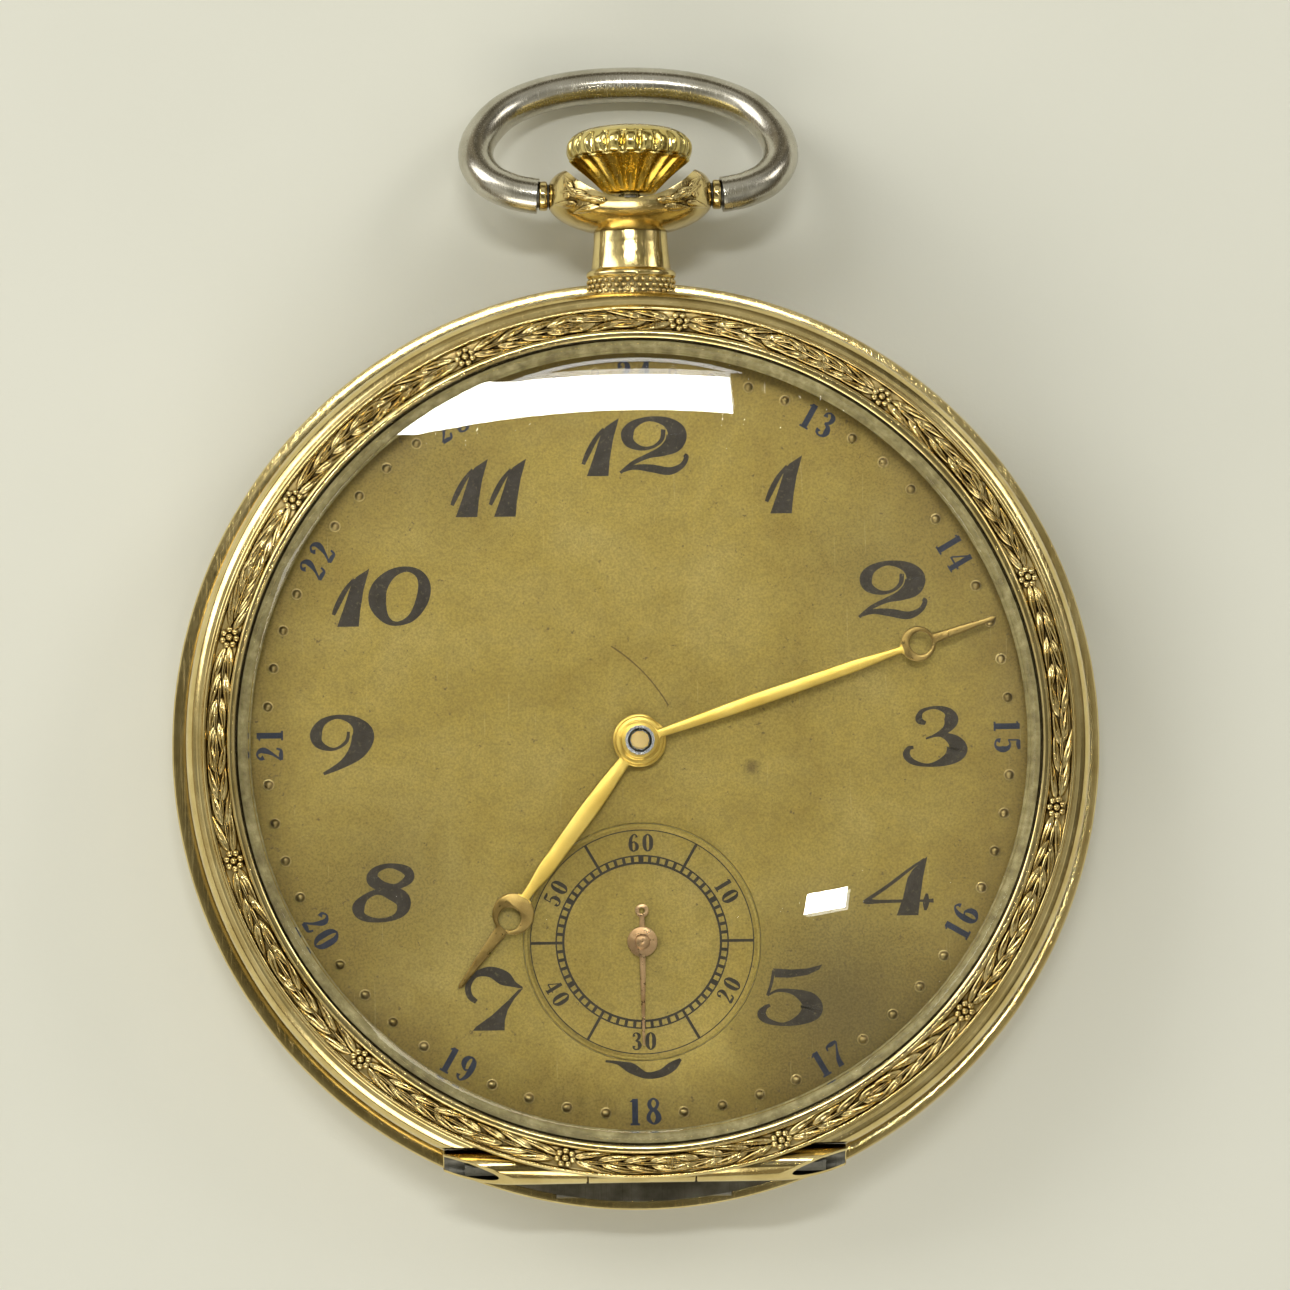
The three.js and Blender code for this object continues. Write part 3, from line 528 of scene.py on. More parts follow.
def metal(name, light, dark, roughness, groove_dirt_and_shade=None, groove=0.3, waves=0.004, scratch=0.5):
    """A polished metal with tarnish, hairline scratches and, in grooves up to groove mm wide, dirt and
    painted shade.
    """
    look = Look(name, metallic=1.0)
    cloud = look.noise(0.45, 5.0, 0.6)
    colour = look.ramp(cloud, (0.34, dark), (0.62, light))
    if groove_dirt_and_shade:
        # the grooves, found by ambient occlusion, are darkened to one colour: dirt and painted shade
        open_surface = look.ramp(look.crevice(groove), (0.35, 0.0), (0.85, 1.0))
        colour = look.mix(open_surface, groove_dirt_and_shade, colour)
    look.colour(colour)
    one = look.hairlines(0.5, 9.0)
    two = look.hairlines(-0.9, 13.0, 0.64, 0.67)
    lines = look.math("ADD", one, two, clamp=True)
    fine = look.noise(3.0, 5.0, 0.65)
    base = look.remap(fine, *roughness)
    look.rough(look.math("ADD", base, look.math("MULTIPLY", lines, 0.18 * scratch), clamp=True))
    swell = look.noise(0.9, 3.0, 0.5)
    height = look.math("SUBTRACT", swell, look.math("MULTIPLY", lines, 0.35 * scratch))
    look.bump(height, waves)
    return look.material


GOLD = metal("gold_case", (0.83, 0.675, 0.32), (0.66, 0.505, 0.20), (0.09, 0.22), (0.08, 0.045, 0.012),
             groove=0.5, waves=0.010, scratch=0.35)
GOLD_CHASED = metal("gold_chased", (0.88, 0.72, 0.35), (0.66, 0.50, 0.20), (0.12, 0.26), (0.13, 0.085, 0.025),
                    groove=0.28, waves=0.012)
# the engraved band's ground: matt gold, darker than the case gold as painted shade between the leaves
SHADED_GROUND = metal("gold_ground_shaded", (0.64, 0.50, 0.22), (0.42, 0.31, 0.11), (0.26, 0.46), (0.05, 0.03, 0.008),
               groove=0.4, waves=0.03)
CROWN_GOLD = metal("crown_gold", (0.82, 0.68, 0.27), (0.64, 0.50, 0.15), (0.10, 0.24), (0.055, 0.032, 0.006),
                   groove=0.3, waves=0.006)
SILVER = metal("silver_bow", (0.60, 0.57, 0.49), (0.45, 0.42, 0.34), (0.16, 0.30), (0.10, 0.085, 0.05),
               groove=0.3, waves=0.003, scratch=0.35)
STEEL = metal("steel", (0.56, 0.57, 0.58), (0.40, 0.41, 0.42), (0.18, 0.34), (0.08, 0.08, 0.075), groove=0.3)
DARK_STEEL = metal("dark_steel", (0.17, 0.165, 0.14), (0.075, 0.07, 0.055), (0.35, 0.6),
                   waves=0.006, scratch=0.9)
BLUED = metal("blued_steel", (0.045, 0.08, 0.22), (0.02, 0.035, 0.10), (0.18, 0.32), waves=0.003, scratch=0.3)
WHEEL = metal("wheel_brass", (0.80, 0.60, 0.26), (0.60, 0.42, 0.15), (0.22, 0.38), (0.12, 0.07, 0.02),
              groove=0.25)
HAND_GOLD = metal("hand_gilt", (0.93, 0.68, 0.17), (0.82, 0.56, 0.11), (0.24, 0.36))
HAND_TIP = metal("hand_gilt_dark", (0.40, 0.28, 0.09), (0.20, 0.13, 0.035), (0.2, 0.4))
HAND_COPPER = metal("hand_copper", (0.54, 0.36, 0.19), (0.32, 0.19, 0.085), (0.2, 0.38))
BEAD = metal("bead_gilt", (0.44, 0.34, 0.14), (0.22, 0.16, 0.05), (0.2, 0.4), (0.05, 0.035, 0.012),
             groove=0.25)


def nickel_material():
    look = Look("nickel_plate", metallic=1.0)
    wave = look.node("ShaderNodeTexWave", wave_type="BANDS", bands_direction="DIAGONAL", wave_profile="SAW")
    wave.inputs["Scale"].default_value = 0.28
    wave.inputs["Distortion"].default_value = 0.25
    look.link(look.mm, wave.inputs["Vector"])
    stripe = wave.outputs["Fac"]
    grain = look.noise(5.0, 4.0, 0.6)
    tint = look.ramp(look.noise(0.3, 4.0), (0.35, (0.52, 0.49, 0.42)), (0.65, (0.68, 0.66, 0.60)))
    look.colour(look.mix(stripe, look.mix(0.18, tint, (0.25, 0.22, 0.16)), tint))
    look.rough(look.remap(grain, 0.2, 0.42))
    look.bump(look.math("ADD", stripe, look.math("MULTIPLY", grain, 0.15)), 0.02)
    return look.material


def ruby_material():
    look = Look("ruby", roughness=0.06, ior=1.76)
    look.set("coat weight", 0.5)
    look.colour(look.ramp(look.noise(3.0, 3.0), (0.3, (0.30, 0.01, 0.05)), (0.7, (0.50, 0.03, 0.10))))
    look.bump(look.noise(6.0), 0.002)
    return look.material


# old stains on the dial, the darkest low on its right: centre, size and depth
STAINS = ((10.5, -14.0, 6.5, 0.75), (-13.5, -7.5, 5.0, 0.45), (12.5, 9.5, 4.5, 0.35), (-10.0, 14.0, 4.0, 0.3))


def dial_material(name, sub=False):
    """Tarnished gilding: blotches, specks, hairlines and dust. The main dial has stains, a scratch and
    painted shade towards its rim too.
    """
    look = Look(name, metallic=0.62)
    blotch = look.noise(0.16, 6.0, 0.62, 0.4)
    grain = look.noise(6.5, 5.0, 0.7)
    mottle = look.noise(0.9, 6.0, 0.68, 0.3)
    colour = look.ramp(blotch, (0.30, (0.226, 0.162, 0.028)), (0.50, (0.273, 0.204, 0.042)),
                       (0.68, (0.308, 0.238, 0.064)))
    colour = look.mix(look.ramp(mottle, (0.42, 0.0), (0.74, 0.40)), colour, (0.190, 0.142, 0.040))
    if not sub:
        # the main dial darkens unevenly towards its rim, under the bezel: painted shade
        uneven = look.math("ADD", look.radius(), look.math("MULTIPLY", look.noise(0.22, 5.0, 0.6), 6.0))
        edge = look.ramp(look.math("DIVIDE", uneven, 26.0), (0.74, 0.0), (0.86, 0.32), (0.96, 0.68))
        colour = look.mix(edge, colour, (0.125, 0.078, 0.014))
        for dx, dy, size, depth in STAINS:
            spread = look.math("ADD", look.radius(dx, dy), look.math("MULTIPLY", mottle, 5.0))
            spot = look.ramp(look.math("DIVIDE", spread, size + 3.5), (0.35, depth), (1.0, 0.0))
            colour = look.mix(spot, colour, (0.085, 0.062, 0.020))
    specks = look.ramp(look.noise(2.1, 3.0, 0.8), (0.64, 0.0), (0.72, 0.75))
    colour = look.mix(specks, colour, (0.09, 0.065, 0.025))
    long_lines = look.hairlines(0.5, 6.0, 0.735, 0.745)
    cross_lines = look.hairlines(1.3, 8.0, 0.73, 0.74)
    lines = look.math("ADD", long_lines, cross_lines, clamp=True)
    colour = look.mix(look.math("MULTIPLY", lines, 0.16), colour, (0.50, 0.42, 0.20))
    if not sub:
        # one long curved scratch and one round spot beside the hands' centre
        arc = look.math("ABSOLUTE", look.math("SUBTRACT", look.radius(-6.4, -2.6), 9.15))
        near = look.math("LESS_THAN", look.radius(0.1, 3.5), 2.2)
        scar = look.math("MULTIPLY", look.math("LESS_THAN", arc, 0.035), near)
        uneven = look.math("ADD", look.radius(6.0, -1.45), look.math("MULTIPLY", grain, 0.5))
        spot = look.ramp(uneven, (0.40, 0.8), (0.75, 0.0))
        scar = look.math("ADD", scar, spot, clamp=True)
        colour = look.mix(look.math("MULTIPLY", scar, 0.75), colour, (0.055, 0.035, 0.012))
    dust = look.ramp(look.noise(8.0, 3.0, 0.7), (0.38, 0.76), (0.60, 1.07))
    colour = look.mix(1.0, colour, dust, "MULTIPLY")
    look.colour(colour)
    look.rough(look.math("SUBTRACT", look.remap(grain, 0.40, 0.58), look.math("MULTIPLY", lines, 0.12)))
    height = look.math("ADD", grain, look.math("MULTIPLY", mottle, 0.5))
    look.bump(height, 0.010, 0.6)
    return look.material


def paint_material(name, dark, worn, wear):
    """Printing ink. It is chipped to the worn colour where a noise passes the two limits of wear."""
    look = Look(name, metallic=0.0)
    look.set("specular ior level", 0.25)
    body = look.ramp(look.noise(1.6, 5.0, 0.65), (0.35, dark), (0.7, tuple(c * 1.7 + 0.006 for c in dark)))
    chips = look.ramp(look.noise(4.2, 5.0, 0.75), (wear[0], 0.0), (wear[1], 0.7))
    look.colour(look.mix(chips, body, worn))
    look.rough(look.remap(look.noise(5.0, 4.0), 0.35, 0.6))
    look.bump(look.noise(5.5, 4.0, 0.7), 0.006)
    return look.material


def glass_material():
    look = Look("crystal", transmission_weight=1.0, ior=1.5, base_color=(0.985, 0.99, 0.98))
    look.rough(look.ramp(look.noise(1.1, 3.0), (0.55, 0.0), (0.9, 0.02)))
    marks = look.math("ADD", look.hairlines(0.3, 6.0, 0.73, 0.74), look.hairlines(1.1, 9.0, 0.73, 0.74))
    look.bump(marks, 0.0012, 0.35)
    clear = look.node("ShaderNodeBsdfTransparent")
    path = look.node("ShaderNodeLightPath")
    mixed = look.node("ShaderNodeMixShader")
    out = look.tree.nodes["Material Output"]
    look.link(path.outputs["Is Shadow Ray"], mixed.inputs[0])
    look.link(look.shader.outputs[0], mixed.inputs[1])
    look.link(clear.outputs[0], mixed.inputs[2])
    look.link(mixed.outputs[0], out.inputs["Surface"])
    return look.material


def cement_material():
    look = Look("cement", metallic=0.25)
    cloud = look.noise(1.2, 5.0, 0.7)
    look.colour(look.ramp(cloud, (0.36, (0.125, 0.098, 0.030)), (0.52, (0.20, 0.165, 0.060)),
                          (0.72, (0.33, 0.285, 0.135))))
    look.rough(look.remap(look.noise(3.0), 0.4, 0.7))
    look.bump(look.noise(4.0), 0.02)
    return look.material


def floor_material():
    look = Look("floor_paper")
    colour = look.ramp(look.noise(0.02, 4.0), (0.35, (0.775, 0.78, 0.695)), (0.65, (0.81, 0.815, 0.733)))
    look.colour(colour)
    look.rough(look.remap(look.noise(0.5, 5.0), 0.75, 0.95))
    look.bump(look.noise(0.9, 6.0, 0.7), 0.05, 0.35)
    return look.material


NICKEL = nickel_material()
RUBY = ruby_material()
GLASS = glass_material()
DIAL = dial_material("dial_gilt")
SUB_DIAL = dial_material("dial_gilt_sub", sub=True)
INK_BROWN = paint_material("ink_brown", (0.017, 0.013, 0.008), (0.14, 0.105, 0.040), (0.56, 0.72))
INK_BLUE = paint_material("ink_blue", (0.008, 0.012, 0.026), (0.13, 0.11, 0.055), (0.68, 0.80))
INK_FINE = paint_material("ink_fine", (0.014, 0.011, 0.006), (0.13, 0.10, 0.045), (0.66, 0.80))
CEMENT = cement_material()


# ---------------------------------------------------------------- studio
def make_floor():
    half, height = 900.0, -0.02
    verts = [(x, y, height) for y in (-half, half) for x in (-half, half)]
    floor = to_object("floor", verts, [(0, 1, 3, 2)], [floor_material()])


def aim(obj, location, target, roll=0.0):
    """Points a camera or a lamp at the target with its sides level with X."""
    back = (Vector(location) - Vector(target)).normalized()
    side = (Vector((1, 0, 0)) - back * back.x).normalized()
    turn = Matrix((side, back.cross(side), back)).transposed().to_4x4()
    obj.matrix_world = Matrix.Translation(Vector(location) * MM) @ turn @ Matrix.Rotation(roll, 4, "Z")


def make_camera():
    """A long lens almost straight above the dial, leaning a little towards 6 o'clock and towards -X."""
    data = bpy.data.cameras.new("camera")
    cam = bpy.data.objects.new("camera", data)
    bpy.context.scene.collection.objects.link(cam)
    distance = 280.0
    lean_x, lean_y, roll = math.radians(-1.9), math.radians(-3.5), math.radians(-0.75)
    target = Vector((0.37, 5.10, 8.0))
    data.sensor_width = 36.0
    data.lens = 146.4
    data.clip_start, data.clip_end = 0.01, 10.0
    direction = Vector((math.sin(lean_x), math.sin(lean_y), math.cos(lean_y))).normalized()
    aim(cam, target + direction * distance, target, roll)
    bpy.context.scene.camera = cam


def area_light(name, direction, distance, size, power, colour):
    """A rectangular lamp in a direction from the crystal, facing it."""
    target = (0, 0, 8)
    data = bpy.data.lights.new(name, "AREA")
    data.shape = "RECTANGLE"
    data.size, data.size_y = size[0] * MM, size[1] * MM
    data.energy = power
    data.color = colour
    lamp = bpy.data.objects.new(name, data)
    bpy.context.scene.collection.objects.link(lamp)
    aim(lamp, Vector(target) + Vector(direction).normalized() * distance, target)


def make_lights():
    # the window over the 12 o'clock side, whose reflection stands on the crystal
    area_light("window", (-0.030, 0.338, 1.0), 500, (138, 21), 0.48, (1.0, 1.0, 0.98))
    # a small lamp by the camera, seen as a speck beside the hands
    area_light("lamp", (0.162, -0.073, 1.0), 500, (17, 8), 0.05, (1.0, 0.99, 0.95))
    area_light("sky_left", (-1.3, 0.9, 1.1), 700, (420, 300), 1.5, (1.0, 0.985, 0.95))
    area_light("sky_right", (1.2, 0.8, 1.0), 800, (200, 300), 0.7, (1.0, 0.97, 0.92))
    area_light("front_fill", (-0.45, -1.25, 0.80), 800, (700, 260), 2.2, (1.0, 0.96, 0.88))


# the room by height, from straight below (0) to straight above (1)
ROOM = ((0.0, (0.30, 0.27, 0.20)), (0.10, (0.24, 0.21, 0.15)), (0.34, (0.14, 0.115, 0.07)),
        (0.52, (0.42, 0.405, 0.34)), (0.74, (0.62, 0.61, 0.55)), (0.86, (0.48, 0.47, 0.40)),
        (0.94, (0.19, 0.175, 0.125)), (1.0, (0.11, 0.10, 0.065)))


def make_world():
    """A room lit by height, with soft dark and light areas, and darker on the +X side."""
    world = bpy.data.worlds.new("world")
    bpy.context.scene.world = world
    world.use_nodes = True
    tree = world.node_tree
    link = tree.links.new

    def node(kind):
        return tree.nodes.new("ShaderNode" + kind)

    def map_range(source, *limits):
        made = node("MapRange")
        for socket, value in zip(("From Min", "From Max", "To Min", "To Max"), limits):
            made.inputs[socket].default_value = value
        link(source, made.inputs["Value"])
        return made.outputs["Result"]

    background = tree.nodes["Background"]
    coord = node("TexCoord")
    split = node("SeparateXYZ")
    link(coord.outputs["Generated"], split.inputs[0])
    ramp = node("ValToRGB")
    while len(ramp.color_ramp.elements) < len(ROOM):
        ramp.color_ramp.elements.new(0.5)
    for element, (position, colour) in zip(ramp.color_ramp.elements, ROOM):
        element.position = position
        element.color = (*colour, 1)
    link(split.outputs["Z"], ramp.inputs["Fac"])
    room = node("TexNoise")
    room.inputs["Scale"].default_value = 2.6
    room.inputs["Detail"].default_value = 2.0
    link(coord.outputs["Generated"], room.inputs["Vector"])
    both = node("Math")
    both.operation = "MULTIPLY"
    link(map_range(room.outputs["Fac"], 0.36, 0.64, 0.35, 1.45), both.inputs[0])
    link(map_range(split.outputs["X"], -1.0, 1.0, 1.3, 0.7), both.inputs[1])
    shade = node("VectorMath")
    shade.operation = "SCALE"
    link(ramp.outputs["Color"], shade.inputs[0])
    link(both.outputs[0], shade.inputs["Scale"])
    link(shade.outputs["Vector"], background.inputs["Color"])
    background.inputs["Strength"].default_value = 1.0
    view = bpy.context.scene.view_settings
    view.view_transform = "Standard"
    view.look = "None"
    view.exposure = 0.0


make_world()
make_camera()
make_lights()
make_floor()


# ---------------------------------------------------------------- case
def tube_x(name, x0, x1, outer, bore, y, z, material, edge=0.08):
    """A bored tube along X, between two ends given in either order."""
    x0, x1 = sorted((x0, x1))
    profile = fillet([(bore, 0.0), (outer, 0.0), (outer, x1 - x0), (bore, x1 - x0)], edge, 3)
    verts, faces = lathe(profile, 64)
    verts = [(x0 + h, y + a, z + b) for a, b, h in verts]
    return to_object(name, verts, faces, [material])


def box_object(name, low, high):
    verts = [(x, y, z) for x in (low[0], high[0]) for y in (low[1], high[1]) for z in (low[2], high[2])]
    faces = [(0, 1, 3, 2), (4, 6, 7, 5), (0, 4, 5, 1), (2, 3, 7, 6), (0, 2, 6, 4), (1, 5, 7, 3)]
    return to_object(name, verts, faces, [])


def joined(objects, name):
    """Several objects made into one. The materials of all of them are kept."""
    first = objects[0]
    with bpy.context.temp_override(active_object=first, object=first, selected_objects=objects,
                                   selected_editable_objects=objects):
        bpy.ops.object.join()
    first.name = name
    first.data.name = name
    return first


def make_bezel():
    outside = [(21.72, 7.50), (21.95, 7.27), (23.88, 7.27), (24.10, 7.40), (24.14, 7.66), (24.10, 7.98),
               (23.98, 8.26), (23.78, 8.48), (23.52, 8.62), (23.30, 8.66)]
    outer_bead = [(23.24, 8.74), (23.20, 8.86), (23.12, 8.92), (23.04, 8.88), (22.99, 8.78)]
    band = [(22.88, 8.78), (22.60, 8.84), (22.25, 8.93), (21.98, 9.02)]
    inner_bead = [(21.93, 9.12), (21.86, 9.24), (21.76, 9.29), (21.56, 9.27), (21.44, 9.20), (21.40, 9.08)]
    crystal_seat = [(21.40, 8.75), (20.98, 8.72), (20.98, 8.46), (21.62, 8.22)]
    profile = outside + outer_bead + band + inner_bead + crystal_seat
    verts, faces = lathe(fillet(profile, 0.05, 2), 256)
    bezel = to_object("bezel_ring", verts, faces, [GOLD])
    y, z, r = HINGE["y"], HINGE["z"], HINGE["r"]
    # room for the hinge: under the bezel, and outside the engraved band over the tubes
    room_x, room_y = 11.05, (-26.0, -21.45)
    low = (-room_x, room_y[0], 6.5)
    cut(bezel, box_object("cut_under", low, (room_x, room_y[1], z + r + 0.05)))
    over = box_object("cut_outside", (0.1 - room_x, room_y[0], 6.5), (room_x - 0.1, room_y[1], 10.5))
    cut(over, cylinder("keep_inside", 23.26, 6.0, 11.0, 192))
    cut(bezel, over, bevel=0.03)
    knuckle = tube_x("knuckle", HINGE["mid"][0], HINGE["mid"][1], r, HINGE["bore"], y, z, GOLD)
    web = box_object("web", (-2.9, -22.75, z + 0.72), (2.5, -22.0, 8.75))
    web.data.materials.append(GOLD)
    bezel = joined([bezel, knuckle, web], "bezel_ring")
    # the ground of the engraved band is matt, and its gold is darker than the case's: matting with painted
    # shade between the leaves
    ground_low, ground_inner, ground_outer = 8.70, 22.0, 22.97
    bezel.data.materials.append(SHADED_GROUND)
    ground = len(bezel.data.materials) - 1
    for polygon in bezel.data.polygons:
        centre = polygon.center / MM
        if centre.z > ground_low and ground_inner < math.hypot(centre.x, centre.y) < ground_outer:
            polygon.material_index = ground
    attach(bezel, "bezel_frame")
    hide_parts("bezel")


# how far leaves and beads reach into the metal that they lie on
ROOT = 0.12


def leaf(length, width, height, bend=0.0):
    """A pointed leaf along +X with a grooved middle, closed underneath."""
    steps, half = 10, 4
    verts, faces = [], []
    for i in range(steps + 1):
        t = i / steps
        w = 0.0
        if 0 < i < steps:
            w = width * 0.5 * math.sin(math.pi * min(t * 0.94 + 0.06, 1.0) ** 0.72) ** 0.9
        for k in range(-half, half + 1):
            s = k / half
            lift = height * math.sin(math.pi * (0.12 + 0.8 * t)) * (1 - abs(s) ** 2.2)
            groove = height * 0.42 * max(0.0, 1 - abs(s) * 3.2) * math.sin(math.pi * t)
            verts.append((t * length, s * w + bend * t * t, lift - groove))
    row = 2 * half + 1
    for i in range(steps):
        for k in range(row - 1):
            a = i * row + k
            faces.append((a, a + 1, a + row + 1, a + row))
    outline = [i * row for i in range(steps + 1)] + [i * row + row - 1 for i in range(steps, -1, -1)]
    base = len(verts)
    verts += [(verts[i][0], verts[i][1], -ROOT) for i in outline]
    n = len(outline)
    faces += [(outline[i], base + i, base + (i + 1) % n, outline[(i + 1) % n]) for i in range(n)]
    faces.append(tuple(base + i for i in range(n)))
    return verts, faces


def bead(radius, squash, rings, sides):
    """A dome standing on z = 0, with its foot ROOT deep in the metal."""
    profile = [(radius * math.cos(a), radius * squash * math.sin(a))
               for a in [math.pi / 2 * i / rings for i in range(rings + 1)]]
    profile = [(radius, -ROOT)] + profile[:-1]
    verts, faces = lathe(profile, sides, closed=False)
    n = len(profile)
    top = len(verts)
    verts.append((0, 0, radius * squash))
    faces += [(s * n + n - 1, ((s + 1) % sides) * n + n - 1, top) for s in range(sides)]
    faces.append(tuple(s * n for s in reversed(range(sides))))
    return verts, faces


def on_band(pieces, solid, r, degrees, heading, lift):
    """Lays a small solid on the engraved band. heading is its turn from the clockwise direction."""
    verts, faces = solid
    a = math.radians(degrees)
    c, s = math.cos(heading), math.sin(heading)
    slope = math.atan(BAND["slope"])
    height = BAND["z"] + (BAND["r"] - r) * BAND["slope"]
    out = []
    for x, y, z in verts:
        along, across = x * c - y * s, x * s + y * c
        rr = r + across * math.cos(slope)
        zz = height - across * math.sin(slope) + z + lift
        turn = a + along / r
        out.append((rr * math.sin(turn), rr * math.cos(turn), zz))
    pieces.add(out, faces)


# where the garland's rosettes are, clockwise from 12 o'clock
ROSETTES = (6.2, 36.0, 68.0, 100.0, 130.7, 161.4, 191.0, 222.0, 254.2, 284.8, 305.5, 336.3)


def rosette(pieces, mid_r, degrees):
    """Seven petals round an eye."""
    petals, ring = 7, 0.36
    for k in range(petals):
        a = TAU * k / petals + 0.3
        at = degrees + math.degrees((ring + 0.06) * math.cos(a) / mid_r)
        on_band(pieces, bead(0.20, 0.9, 4, 10), mid_r + ring * math.sin(a), at, 0.0, 0.04)
    on_band(pieces, bead(0.20, 1.1, 5, 12), mid_r, degrees, 0.0, 0.10)


def spray(pieces, mid_r, foot, side, span, rng):
    """Leaves in pairs round a middle leaf, from a rosette towards the next one. side 1 is clockwise."""
    rows = 4
    back = math.pi if side < 0 else 0.0
    for row in range(rows):
        at = foot + side * span * row / rows
        for lane in (-1, 1):
            size = (2.45 - 0.16 * row) * rng.uniform(0.9, 1.08)
            heading = lane * side * (0.27 + rng.uniform(-0.05, 0.05))
            solid = leaf(size, 0.50 + rng.uniform(-0.05, 0.05), 0.21, -lane * side * 0.20)
            nudge = side * (0.35 if lane > 0 else 0.0)
            on_band(pieces, solid, mid_r + lane * 0.09, at + nudge, heading + back, 0.010 * row + 0.01)
        heading = rng.uniform(-0.06, 0.06) + back
        middle_leaf = leaf(1.75, 0.26, 0.20)
        on_band(pieces, middle_leaf, mid_r + rng.uniform(-0.05, 0.05), at + side * 1.4, heading, 0.05)


def make_garland():
    """The laurel on the bezel: sprays of leaves that meet at three berries, halfway between rosettes."""
    rng = random.Random(7)
    work = Pieces()
    mid_r, clear = 22.46, 1.0
    for place in ROSETTES:
        rosette(work, mid_r, place)
    for start, end in zip(ROSETTES, ROSETTES[1:] + (ROSETTES[0] + 360,)):
        span = (end - start) / 2 - clear
        spray(work, mid_r, start + clear, 1, span, rng)
        spray(work, mid_r, end - clear, -1, span, rng)
        for k in (-1, 0, 1):
            berry = bead(0.12 - 0.02 * abs(k), 0.9, 4, 8)
            on_band(work, berry, mid_r + 0.30 * k, (start + end) / 2 + 0.3 * k, 0.0, 0.05)
    garland = to_object("bezel_garland", work.verts, work.faces, [GOLD_CHASED], 50)
    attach(garland, "bezel_frame")
    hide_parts("bezel")


def filed_tube(name, x0, side, outer, bore, y, z, material, sides=72):
    """A bored tube along X from x0 outwards, its far end filed to the round of the case."""
    rim, slope, furthest = 24.65, 0.6, 10.75
    verts, faces = [], []
    for k in range(sides):
        a = TAU * k / sides
        ring = []
        for r, reach in ((bore, -0.05), (bore + 0.05, 0.0), (outer - 0.07, 0.0), (outer, -0.08)):
            py, pz = y + r * math.cos(a), z + r * math.sin(a)
            limit = rim - slope * (pz - z)
            ring.append((side * (min(math.sqrt(limit ** 2 - py ** 2), furthest) + reach), py, pz))
        for r, reach in ((outer, 0.06), (outer - 0.06, 0.0), (bore, 0.0)):
            ring.append((x0 + side * reach, y + r * math.cos(a), z + r * math.sin(a)))
        verts += ring
    n = 7
    for k in range(sides):
        m = (k + 1) % sides
        faces += [(k * n + i, k * n + (i + 1) % n, m * n + (i + 1) % n, m * n + i) for i in range(n)]
    # the bore, the last face of each ring, is given dark steel: painted shade inside the tube
    inside = [1 if i % n == n - 1 else 0 for i in range(len(faces))]
    return to_object(name, verts, faces, [material, DARK_STEEL], face_materials=inside)


def make_band():
    profile = [(21.5, 4.0), (23.85, 4.0), (24.08, 4.12), (24.15, 4.4), (24.0, 4.62), (23.92, 5.0),
               (23.90, 5.6), (23.92, 6.2), (24.0, 6.58), (24.15, 6.82), (24.1, 7.08), (23.9, 7.2),
               (21.9, 7.2), (21.9, 5.1), (21.5, 5.1)]
    verts, faces = lathe(fillet(profile, 0.06, 2), 224)
    band = to_object("case_ring", verts, faces, [GOLD])
    y, z, r = HINGE["y"], HINGE["z"], HINGE["r"]
    cut(band, box_object("chord", (-14, -26, 3), (14, -23.5, 8)))
    cut(band, tube_x("channel", -10.85, 10.85, r + 0.04, 0.01, y, z, GOLD, 0.0), bevel=0.02)
    parts = [band]
    for side, middle in zip((-1, 1), HINGE["mid"]):
        parts.append(filed_tube("side_knuckle", middle + side * HINGE_GAP, side, r, 0.69, y, z, GOLD))
        # a dark steel plug in each side tube makes the bore look dark from the ends: painted shade
        parts.append(tube_x("tube_shade_plug", 6.2 * side, 6.6 * side, 0.70, 0.02, y, z, DARK_STEEL, 0.02))
    band = joined(parts, "case_ring")
    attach(band, "case")
    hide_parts("case_band")


def make_back():
    outside = [(0.0, 0.0), (6.0, 0.0), (10.0, 0.02), (15.0, 0.35), (19.0, 1.05), (22.0, 2.1), (23.9, 3.05),
               (24.9, 3.52)]
    rim = [(25.07, 3.62), (25.1, 3.78), (25.02, 3.92), (24.8, 3.96), (24.1, 3.95), (23.4, 3.55)]
    inside = [(23.4, 3.55), (21.8, 2.65), (18.8, 1.55), (15.0, 0.85), (10.0, 0.5), (0.0, 0.5)]
    verts, faces = turned_solid(catmull(outside, 6) + rim + catmull(inside, 4)[1:], 0.0, 0.5)
    back = to_object("back_shell", verts, faces, [GOLD])
    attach(back, "back")
    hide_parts("back_cover")
    # a dark steel plate in the crescent between the band's flat and the lip, where there is only shade:
    # painted shade
    edge, chord, top, bottom, steps = 24.62, 23.62, 4.22, 3.93, 24
    reach = math.acos(chord / edge)
    turns = [reach * (2 * i / steps - 1) for i in range(steps + 1)]
    arc = [(edge * math.sin(a), -edge * math.cos(a)) for a in turns]
    verts = [(x, y, top) for x, y in arc] + [(x, y, bottom) for x, y in arc]
    n = len(arc)
    faces = [tuple(range(n)), tuple(range(2 * n - 1, n - 1, -1))]
    faces += [(i, i + n, (i + 1) % n + n, (i + 1) % n) for i in range(n)]
    plate = to_object("back_gap_shade_plate", verts, faces, [DARK_STEEL])
    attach(plate, "back")


make_bezel()
make_garland()
make_band()
make_back()


